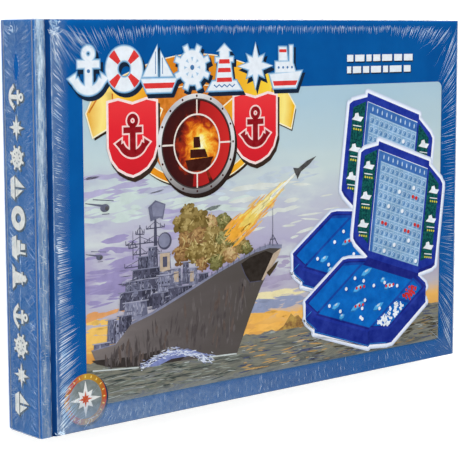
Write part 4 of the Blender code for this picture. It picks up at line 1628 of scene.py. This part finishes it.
def strip_film_print():
    """Milky at the top of the hinge strip and clearer below, in long soft bands, which partly stand in for a
    painted highlight along the strip.
    """
    surface = Film("film_strip", (1.6, 0.2, 1), ((150, 186, 214), (216, 232, 242)))
    height = surface.span(surface.axis("Y"), BOTTOM + 60 * MM, TOP, 0.42, 1.0)
    return surface.milky(surface.times(height, surface.band("X", LEFT, -2, 2, 3.5, 7.5), 0.6), 0.7)


def spine_creases(rng):
    """Fine creases from both edges of the spine, a seam down its middle, and the window's outline."""
    lines = []
    for _ in range(700):
        v = rng.uniform(2, HEIGHT - 2)
        sign = 1 if v > 150 else -1 if v < 60 else rng.choice((-1, 1))
        reach = rng.uniform(2.5, 9)
        slant = -sign * rng.uniform(0.25, 0.9) * reach
        if rng.random() < 0.5:
            lines.append((rng.uniform(0.8, 6), v, reach, slant, rng.uniform(0.1, 0.26), 0.4))
        else:
            lines.append((DEPTH - rng.uniform(0.5, 7), v, -reach, slant, rng.uniform(0.1, 0.26), 0.4))
    for i in range(44):
        v = 2 + i * 5 + rng.uniform(-1, 1)
        if not 189 < v < 207:
            lines.append((15 + 0.5 * math.sin(v * 0.08), v, rng.uniform(-0.5, 0.5), 6.5, 0.32, 0.5))
    lines += window_outline(-1) + window_outline(1)
    return lines + scrunch(rng, 10, HEIGHT - 8, 7, 6, 16)


def window_outline(side):
    """One side of the clear window in the spine's film, from its top down."""
    steps = 8
    places = []
    for i in range(steps + 1):
        places.append((15 + side * 2.7 * math.sin(math.pi * i / steps), 208.5 - 17 * i / steps))
    return [(*a, b[0] - a[0], b[1] - a[1], 0.3, 0.5) for a, b in zip(places, places[1:])]


def strip_creases(rng):
    """Short creases, denser towards the top, bright ridges along both edges that are painted edge highlights,
    and a wad at the top.
    """
    lines = []
    for _ in range(420):
        v = min(HEIGHT * (1 - rng.random() ** 1.5), HEIGHT - 1)
        start = rng.uniform(0, 4)
        reach = (rng.uniform(0.8, 2.6), rng.uniform(-2.2, 1.0))
        lines.append((start, v, *reach, rng.uniform(0.12, 0.42), 0.4))
    lines += [(0.15, v, 0.0, 12.0, 0.3, 0.5) for v in range(0, 216, 8)]
    lines += [(6.2, v, 0.0, 10.0, 0.3, 0.5) for v in range(0, 216, 11)]
    return lines + scrunch(rng, 0.5, HEIGHT - 14, 4, 12, 40)


def spine_lift(u, v):
    """The film's height over the spine, in millimetres."""
    return 0.35 + abs(noise.noise(Vector((v * 0.5, u * 0.1, 7.0))) * 0.35)


def strip_lift(u, v):
    """The film's height over the hinge strip, in millimetres."""
    return 0.3 + abs(noise.noise(Vector((v * 0.34, u * 0.3, 2.0))) * 0.1)


def side_lift(along, up, seed):
    """The film's height over one of the three other sides, in metres."""
    return (0.3 + abs(noise.noise(Vector((along * 0.3, up * 0.08, seed)))) * 0.4) * MM


def spine_sheet(i, j):
    u = 0.6 + (DEPTH - 0.5) * i
    v = HEIGHT * j
    seam = 0.5 * math.exp(-(((u - 14.5) / 0.5) ** 2))
    return (LEFT - (spine_lift(u, v) + seam) * MM, BOTTOM + v * MM, u * MM)


def strip_sheet(i, j):
    u = (STRIP_END - LEFT) / MM * i
    v = HEIGHT * j
    return (LEFT + (u - 0.3 * (1 - i)) * MM, BOTTOM + v * MM, FRONT + strip_lift(u, v) * MM)


def long_side_sheet(edge, sign):
    def place(i, j):
        along = LENGTH * i
        up = 0.6 + SIDE_HEIGHT * j
        return (LEFT + along * MM, edge + sign * side_lift(along, up, sign * 3.0), up * MM)
    return place


def end_sheet(i, j):
    along = HEIGHT * i
    up = 0.6 + SIDE_HEIGHT * j
    return (RIGHT + side_lift(along, up, 9.0), BOTTOM + along * MM, up * MM)


def on_spine_film(u, v, rise):
    v = min(max(v, 0.0), HEIGHT)
    return (LEFT - (spine_lift(u, v) + 0.07 + rise) * MM, BOTTOM + v * MM, min(max(u, 0.5), DEPTH) * MM)


def on_strip_film(u, v, rise):
    v = min(max(v, 0.0), HEIGHT)
    return (LEFT + min(u, 6.4) * MM, BOTTOM + v * MM, FRONT + (strip_lift(u, v) + 0.04 + rise * 0.2) * MM)


def make_side_film():
    """The film that stays on the carton: over the spine, the hinge strip, and the three other sides."""
    spine_film = film_sheet("spine_film", 36, 240, spine_sheet, spine_film_print(), "carton")
    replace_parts(spine_film, "film_sides")
    film_sheet("strip_film", 14, 260, strip_sheet, strip_film_print(), "carton")
    clear = Film("film_side_clear", (0.4, 0.4, 1)).milky(0.05, 0.3)
    film_sheet("top_film", 220, 14, long_side_sheet(TOP, 1), clear, "carton")
    film_sheet("bottom_film", 220, 14, long_side_sheet(BOTTOM, -1), clear, "carton")
    film_sheet("end_film", 150, 14, end_sheet, clear, "carton")
    rng = random.Random(5)
    faint = crease_highlight_print("film_faint_crease", 0.16, 0.7)
    add_creases("spine_film_creases", spine_creases(rng), faint, "carton", on_spine_film)
    bright = crease_highlight_print("film_strip_crease", 0.12, 0.66)
    add_creases("strip_film_creases", strip_creases(rng), bright, "carton", on_strip_film)


# ---------------------------------------------------------------- the game cases inside

# Grids: the pitch of their holes, a hole's radius, the height of its collar, and corners round it;
# and the height of a ship's deck over its foot
CELL = 11.5 * MM
HOLE_RADIUS = 1.35 * MM
COLLAR = 0.4 * MM
ROUND = 16
DECK_HEIGHT = 6.02 * MM

# Heights and radii of a peg, from its shank's end to the top of its head
PEG_PROFILE = (
    (-3.4, 0.0), (-3.4, 0.75), (-3.0, 1.0), (-0.2, 1.12), (0.0, 1.5), (0.35, 1.85), (1.2, 2.05), (2.0, 1.7),
    (2.5, 1.0), (2.65, 0.0),
)

# Pegs in play, as (column, row): on the tray's grid, then on the lid's
SEA_MISSES = ((0, 3), (2, 6), (5, 5), (8, 6), (4, 8), (7, 2), (2, 9), (9, 1))
MISSES = ((1, 1), (4, 2), (7, 3), (3, 5), (8, 6), (0, 7), (5, 9), (6, 1), (2, 3))
HITS = ((5, 3), (6, 3), (1, 5), (1, 6), (8, 8), (4, 6))

CARD_SHIP = (
    (-11, -1.5), (-9, -5), (8, -5), (12, 0), (4, -0.8), (3, 2.4), (0.5, 2.4), (0.5, 5), (-2.5, 5), (-3, 1),
    (-6, 1), (-7, -1),
)


def to_square(angle, half):
    """How far a square's side is from its middle, at an angle."""
    return half / max(abs(math.cos(angle)), abs(math.sin(angle)))


def join_rings(shape, rings):
    """Walls between rings that all have the same number of corners."""
    for first, second in zip(rings, rings[1:]):
        for k in range(len(first)):
            n = (k + 1) % len(first)
            shape.faces.new((first[k], first[n], second[n], second[k]))


def add_tile(shape, x, y, face, back, out):
    """One bevelled tile with a collar round its hole; the walls of hole and tile reach the plate's back."""
    profile = [
        (0.5 * CELL, face - out * 0.35 * MM, True),
        (0.46 * CELL, face, True),
        (HOLE_RADIUS + 1.1 * MM, face, False),
        (HOLE_RADIUS + 0.8 * MM, face + out * COLLAR, False),
        (HOLE_RADIUS, face + out * COLLAR, False),
        (HOLE_RADIUS, back, False),
        (0.5 * CELL, back, True),
    ]
    rings = []
    for size, z, square in profile:
        ring = []
        for k in range(ROUND):
            angle = 2 * math.pi * (k + 0.5) / ROUND + math.pi / 4 - math.pi / ROUND
            reach = to_square(angle, size) if square else size
            ring.append(shape.verts.new((x + reach * math.cos(angle), y + reach * math.sin(angle), z)))
        rings.append(ring)
    join_rings(shape, rings)


def add_margin(shape, low, high, field):
    """Four plain bars between the tiles' field and the plate's edges, where there is room for them."""
    left, right, front, rear = field
    bars = [
        (low.x, left, low.y, high.y),
        (right, high.x, low.y, high.y),
        (left, right, low.y, front),
        (left, right, rear, high.y),
    ]
    for x0, x1, y0, y1 in bars:
        if min(x1 - x0, y1 - y0) < 0.05 * MM:
            continue
        floor_plan = ((x0, y0), (x1, y0), (x1, y1), (x0, y1))
        corners = [shape.verts.new((x, y, z)) for z in (low.z, high.z) for x, y in floor_plan]
        for quad in ((0, 1, 2, 3), (4, 5, 6, 7), (0, 1, 5, 4), (1, 2, 6, 5), (2, 3, 7, 6), (3, 0, 4, 7)):
            shape.faces.new([corners[i] for i in quad])


def add_marks(shape, low, high, centre, field, level):
    """Small cubes that count the columns and rows, one to five, where letters and numbers would be."""
    size = 0.45 * MM
    for i in range(10):
        step = (i - 4.5) * CELL
        count = min(i + 1, 5)
        for x, y in ((field[0] - 0.35 * CELL, centre[1] + step), (centre[0] + step, field[3] + 0.3 * CELL)):
            if not (low.x + MM < x < high.x - MM and low.y + MM < y < high.y - MM):
                continue
            for k in range(count):
                offset = (k - (count - 1) / 2) * 1.5 * MM
                base = Vector((x, y + offset, level(size / 2)))
                bmesh.ops.create_cube(shape, size=size, matrix=Matrix.Translation(base))


def make_grid(name, node, face_up, material, body):
    """A moulded grid: bevelled tiles, each with a raised collar round its peg hole, in a plain margin."""
    low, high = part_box(node)
    middle = (low + high) / 2
    aside = 0.0 if face_up else CELL / 2
    centre = (middle.x - aside, middle.y + aside)
    face = high.z if face_up else low.z
    back = low.z if face_up else high.z
    out = 1 if face_up else -1
    shape = bmesh.new()
    for column in range(10):
        for row in range(10):
            add_tile(shape, *grid_place(centre, column, row), face, back, out)
    field = (centre[0] - 5 * CELL, centre[0] + 5 * CELL, centre[1] - 5 * CELL, centre[1] + 5 * CELL)
    add_margin(shape, low, high, field)
    add_marks(shape, low, high, centre, field, lambda rise: face + out * rise)
    bmesh.ops.recalc_face_normals(shape, faces=shape.faces)
    piece = link(name, mesh_from(name, shape, material))
    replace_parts(piece, node)
    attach(piece, body)
    return centre


def grid_place(centre, column, row):
    """Where the hole of a column and a row lies, both counted from 0 to 9."""
    return (centre[0] + (row - 4.5) * CELL, centre[1] + (column - 4.5) * CELL)


def peg_rings(shape, place, direction):
    """One peg: a tapered shank with a collar under a round head; place is where the head meets the plate."""
    turn = Vector((0, 0, 1)).rotation_difference(direction).to_matrix()
    sides = 12
    rings = []
    for height, radius in PEG_PROFILE:
        ring = []
        for k in range(sides):
            angle = 2 * math.pi * k / sides
            local = Vector((radius * math.cos(angle), radius * math.sin(angle), height)) * MM
            ring.append(shape.verts.new(place + turn @ local))
        rings.append(ring)
    join_rings(shape, rings)


def mesh_from(name, shape, material):
    mesh = bpy.data.meshes.new(name)
    shape.to_mesh(mesh)
    shape.free()
    mesh.materials.append(material)
    return mesh


def add_shape(name, shape, material, body):
    bmesh.ops.remove_doubles(shape, verts=shape.verts, dist=0.00001)
    bmesh.ops.recalc_face_normals(shape, faces=shape.faces)
    mesh = mesh_from(name, shape, material)
    mesh.shade_smooth()
    mesh.set_sharp_from_angle(angle=math.radians(40))
    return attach(link(name, mesh), body)


def make_peg_pile(name, node, count, material, seed):
    """Loose pegs lying at all angles in their pocket, higher in its middle."""
    rng = random.Random(seed)
    low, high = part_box(node)
    shape = bmesh.new()
    for _ in range(count):
        x = rng.uniform(low.x + 3.5 * MM, high.x - 3.5 * MM)
        y = rng.uniform(low.y + 3.5 * MM, high.y - 5.5 * MM)
        heap = 1 - 0.5 * abs((x - low.x) / (high.x - low.x) - 0.5)
        heap -= 0.5 * abs((y - low.y) / (high.y - low.y) - 0.5)
        z = rng.uniform(low.z + 1.6 * MM, low.z + (1.8 + 3.4 * heap) * MM)
        turn = rng.uniform(0, 2 * math.pi)
        direction = Vector((math.cos(turn), math.sin(turn), rng.uniform(-0.35, 0.35))).normalized()
        peg_rings(shape, Vector((x, y, z)), direction)
    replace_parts(add_shape(name, shape, material, "carton"), node)


def add_cone(shape, place, low, high, depth):
    bmesh.ops.create_cone(shape, cap_ends=True, segments=12, radius1=low * MM, radius2=high * MM,
                          depth=depth, matrix=place)


def add_turret(shape, base, deck, share, along_y):
    """A gun turret on a ship's deck, with its barrel lying towards the ship's end."""
    add_cone(shape, Matrix.Translation((base.x, base.y, deck + 0.45 * MM)), 1.25, 0.95, 0.9 * MM)
    lying = Matrix.Rotation(math.pi / 2, 4, "X" if along_y else "Y")
    reach = (1.2 if share < 0 else -1.2) * (1 if along_y else -1) * MM
    barrel = Matrix.Translation((base.x, base.y, deck + 0.55 * MM)) @ lying
    add_cone(shape, barrel @ Matrix.Translation((0, 0, reach)), 0.22, 0.22, 2.2 * MM)


def make_fittings(letter, material):
    """Gun turrets with barrels, and a mast, on the ships, in the ships' own plastic."""
    shape = bmesh.new()
    for name in sorted(name for name in nodes if name.startswith(f"case_{letter}_ship_")):
        low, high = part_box(name)
        decks = int(name.split("_")[4])
        middle = (low + high) / 2
        along_y = high.y - low.y > high.x - low.x
        along = Vector((0, 1, 0)) if along_y else Vector((1, 0, 0))
        length = max(high.y - low.y, high.x - low.x)
        deck = low.z + DECK_HEIGHT
        for share in ((-0.34, 0.3) if decks > 1 else (0.3,)):
            add_turret(shape, middle + along * length * share, deck, share, along_y)
        mast = middle + along * length * 0.07
        top = min(high.z, deck + 3.4 * MM)
        upright = Matrix.Translation((mast.x, mast.y, (deck + top) / 2 + 0.4 * MM))
        add_cone(shape, upright, 0.5, 0.3, top - deck)
    add_shape(f"case_{letter}_ship_fittings", shape, material, "carton")


def make_card_print(letter, side, white, yellow):
    """White ships, captions as bars and yellow dots on a fleet card's open face, which is its lower one."""
    low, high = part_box(f"case_{letter}_fleet_card_{side}")
    middle = (low + high) / 2

    def place(u, v, level):
        return (middle.x - v * MM, middle.y + u * MM, low.z - level * INK)

    card = Painting(f"case_{letter}_card_{side}", 2, place, f"case_{letter}_lid")
    for k, level in enumerate((45, 15, -15, -45)):
        card.add(white, [shift(CARD_SHIP, 0, level + 4), rectangle(-9, level - 5.1, 18, 1.2)])
        card.add(yellow, [arc(-7.5 + i * 5, level - 8.5, 1.4, points=14) for i in range(4 - k)])
    card.finish()


def make_cases():
    shell = moulded("case_shell_plastic", (16, 30, 138), (30, 50, 160))
    ocean = moulded("ocean_grid_plastic", (0, 84, 168), (8, 104, 186), 0.36)
    target = moulded("target_grid_plastic", (140, 176, 208), (170, 200, 224), 0.24, 0.82)
    ship = moulded("ship_plastic", (86, 170, 222), (120, 194, 236), 0.42)
    white = moulded("peg_white_plastic", (232, 232, 230), (248, 248, 246), 0.38)
    red = moulded("peg_red_plastic", (196, 30, 28), (222, 46, 40), 0.38)
    card = mottled_print("fleet_card_print", [(0.4, (6, 56, 64)), (0.6, (22, 98, 92))], 420.0, detail=3)
    white_ink = plain_print("card_white", (240, 240, 236), 5)
    yellow_ink = plain_print("card_yellow", (222, 206, 70))
    for letter in "ab":
        case = f"case_{letter}"
        recolour([f"{case}_{part}" for part in ("tray", "lid", "hinge_pin_left", "hinge_pin_right")], shell)
        recolour([name for name in nodes if name.startswith(f"{case}_ship_")], ship)
        recolour((f"{case}_ocean_peg", f"{case}_target_peg_white"), white)
        recolour((f"{case}_target_peg_red",), red)
        centre = make_grid(f"{case}_sea_plate", f"{case}_ocean_grid", True, ocean, "carton")
        away = make_grid(f"{case}_target_plate", f"{case}_target_grid", False, target, f"{case}_lid")
        make_played_pegs(letter, centre, away, white, red)
        make_peg_pile(f"{case}_red_pile", f"{case}_red_pegs", 60, red, 3 + ord(letter))
        make_peg_pile(f"{case}_white_pile", f"{case}_white_pegs", 110, white, 9 + ord(letter))
        make_fittings(letter, ship)
        for side in ("left", "right"):
            recolour((f"{case}_fleet_card_{side}",), card)
            make_card_print(letter, side, white_ink, yellow_ink)


def make_played_pegs(letter, sea, target, white, red):
    """Pegs in play: misses and hits on both grids."""
    sea_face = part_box(f"case_{letter}_ocean_grid")[1].z + COLLAR
    target_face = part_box(f"case_{letter}_target_grid")[0].z - COLLAR
    lid = f"case_{letter}_lid"
    groups = {
        "sea_misses": (sea, SEA_MISSES, sea_face, 1, white, "carton"),
        "misses": (target, MISSES, target_face, -1, white, lid),
        "hits": (target, HITS, target_face, -1, red, lid),
    }
    for name, (centre, holes, face, out, material, body) in groups.items():
        shape = bmesh.new()
        for column, row in holes:
            peg_rings(shape, Vector((*grid_place(centre, column, row), face)), Vector((0, 0, out)))
        add_shape(f"case_{letter}_{name}", shape, material, body)


# ---------------------------------------------------------------- studio


def make_floor():
    surface = Surface("studio_floor", 0.9)
    surface.colour(surface.ramp(surface.noise(3.0, 2), [(0.4, (246, 246, 246)), (0.6, (249, 249, 249))]))
    surface.shader.inputs["Emission Color"].default_value = (1, 1, 1, 1)
    surface.shader.inputs["Emission Strength"].default_value = 0.35
    reach = 6.0
    corners = [(-reach, -reach, 0), (reach, -reach, 0), (reach, reach, 0), (-reach, reach, 0)]
    add_mesh("floor", corners, [(0, 1, 2, 3)], surface.material, None)


def make_camera():
    turn, tilt, roll = (math.radians(a) for a in (CAMERA_TURN, CAMERA_TILT, CAMERA_ROLL))
    forward = Vector((math.sin(turn) * math.cos(tilt), -math.sin(tilt), -math.cos(turn) * math.cos(tilt)))
    level = Vector((math.cos(turn), 0, math.sin(turn)))
    upright = level.cross(forward)
    right = level * math.cos(roll) + upright * math.sin(roll)
    up = upright * math.cos(roll) - level * math.sin(roll)
    data = bpy.data.cameras.new("camera")
    data.lens = data.sensor_width * CAMERA_FOCAL
    data.clip_start = 0.05
    camera = link("camera", data)
    axes = Matrix((right, up, -forward)).transposed().to_4x4()
    camera.matrix_world = Matrix.Translation(CAMERA_PLACE) @ axes
    bpy.context.scene.camera = camera


def add_light(name, place, size, power):
    """A square light that points at the carton."""
    data = bpy.data.lights.new(name, "AREA")
    data.shape = "RECTANGLE"
    data.size = size
    data.size_y = size
    data.energy = power
    light = link(name, data)
    light.location = place
    light.rotation_euler = (-Vector(place)).to_track_quat("-Z", "Y").to_euler()


def make_studio():
    make_floor()
    make_camera()
    world = bpy.data.worlds.new("studio")
    bpy.context.scene.world = world
    world.use_nodes = True
    sky = world.node_tree.nodes["Background"]
    sky.inputs["Color"].default_value = (0.96, 0.98, 1.0, 1)
    sky.inputs["Strength"].default_value = 0.55
    add_light("key", (-0.5, 1.3, 1.7), 1.2, 34)
    add_light("spine_fill", (-2.0, 0.2, 0.7), 1.4, 16)
    add_light("end_fill", (1.2, -1.4, 1.3), 1.4, 12)
    bpy.context.scene.view_settings.view_transform = "Standard"


def main():
    make_boards()
    make_picture()
    make_headline()
    make_badge()
    make_pictured_cases()
    make_spine_print()
    make_crease()
    make_front_film()
    make_front_creases()
    make_side_film()
    make_cases()
    make_studio()


main()
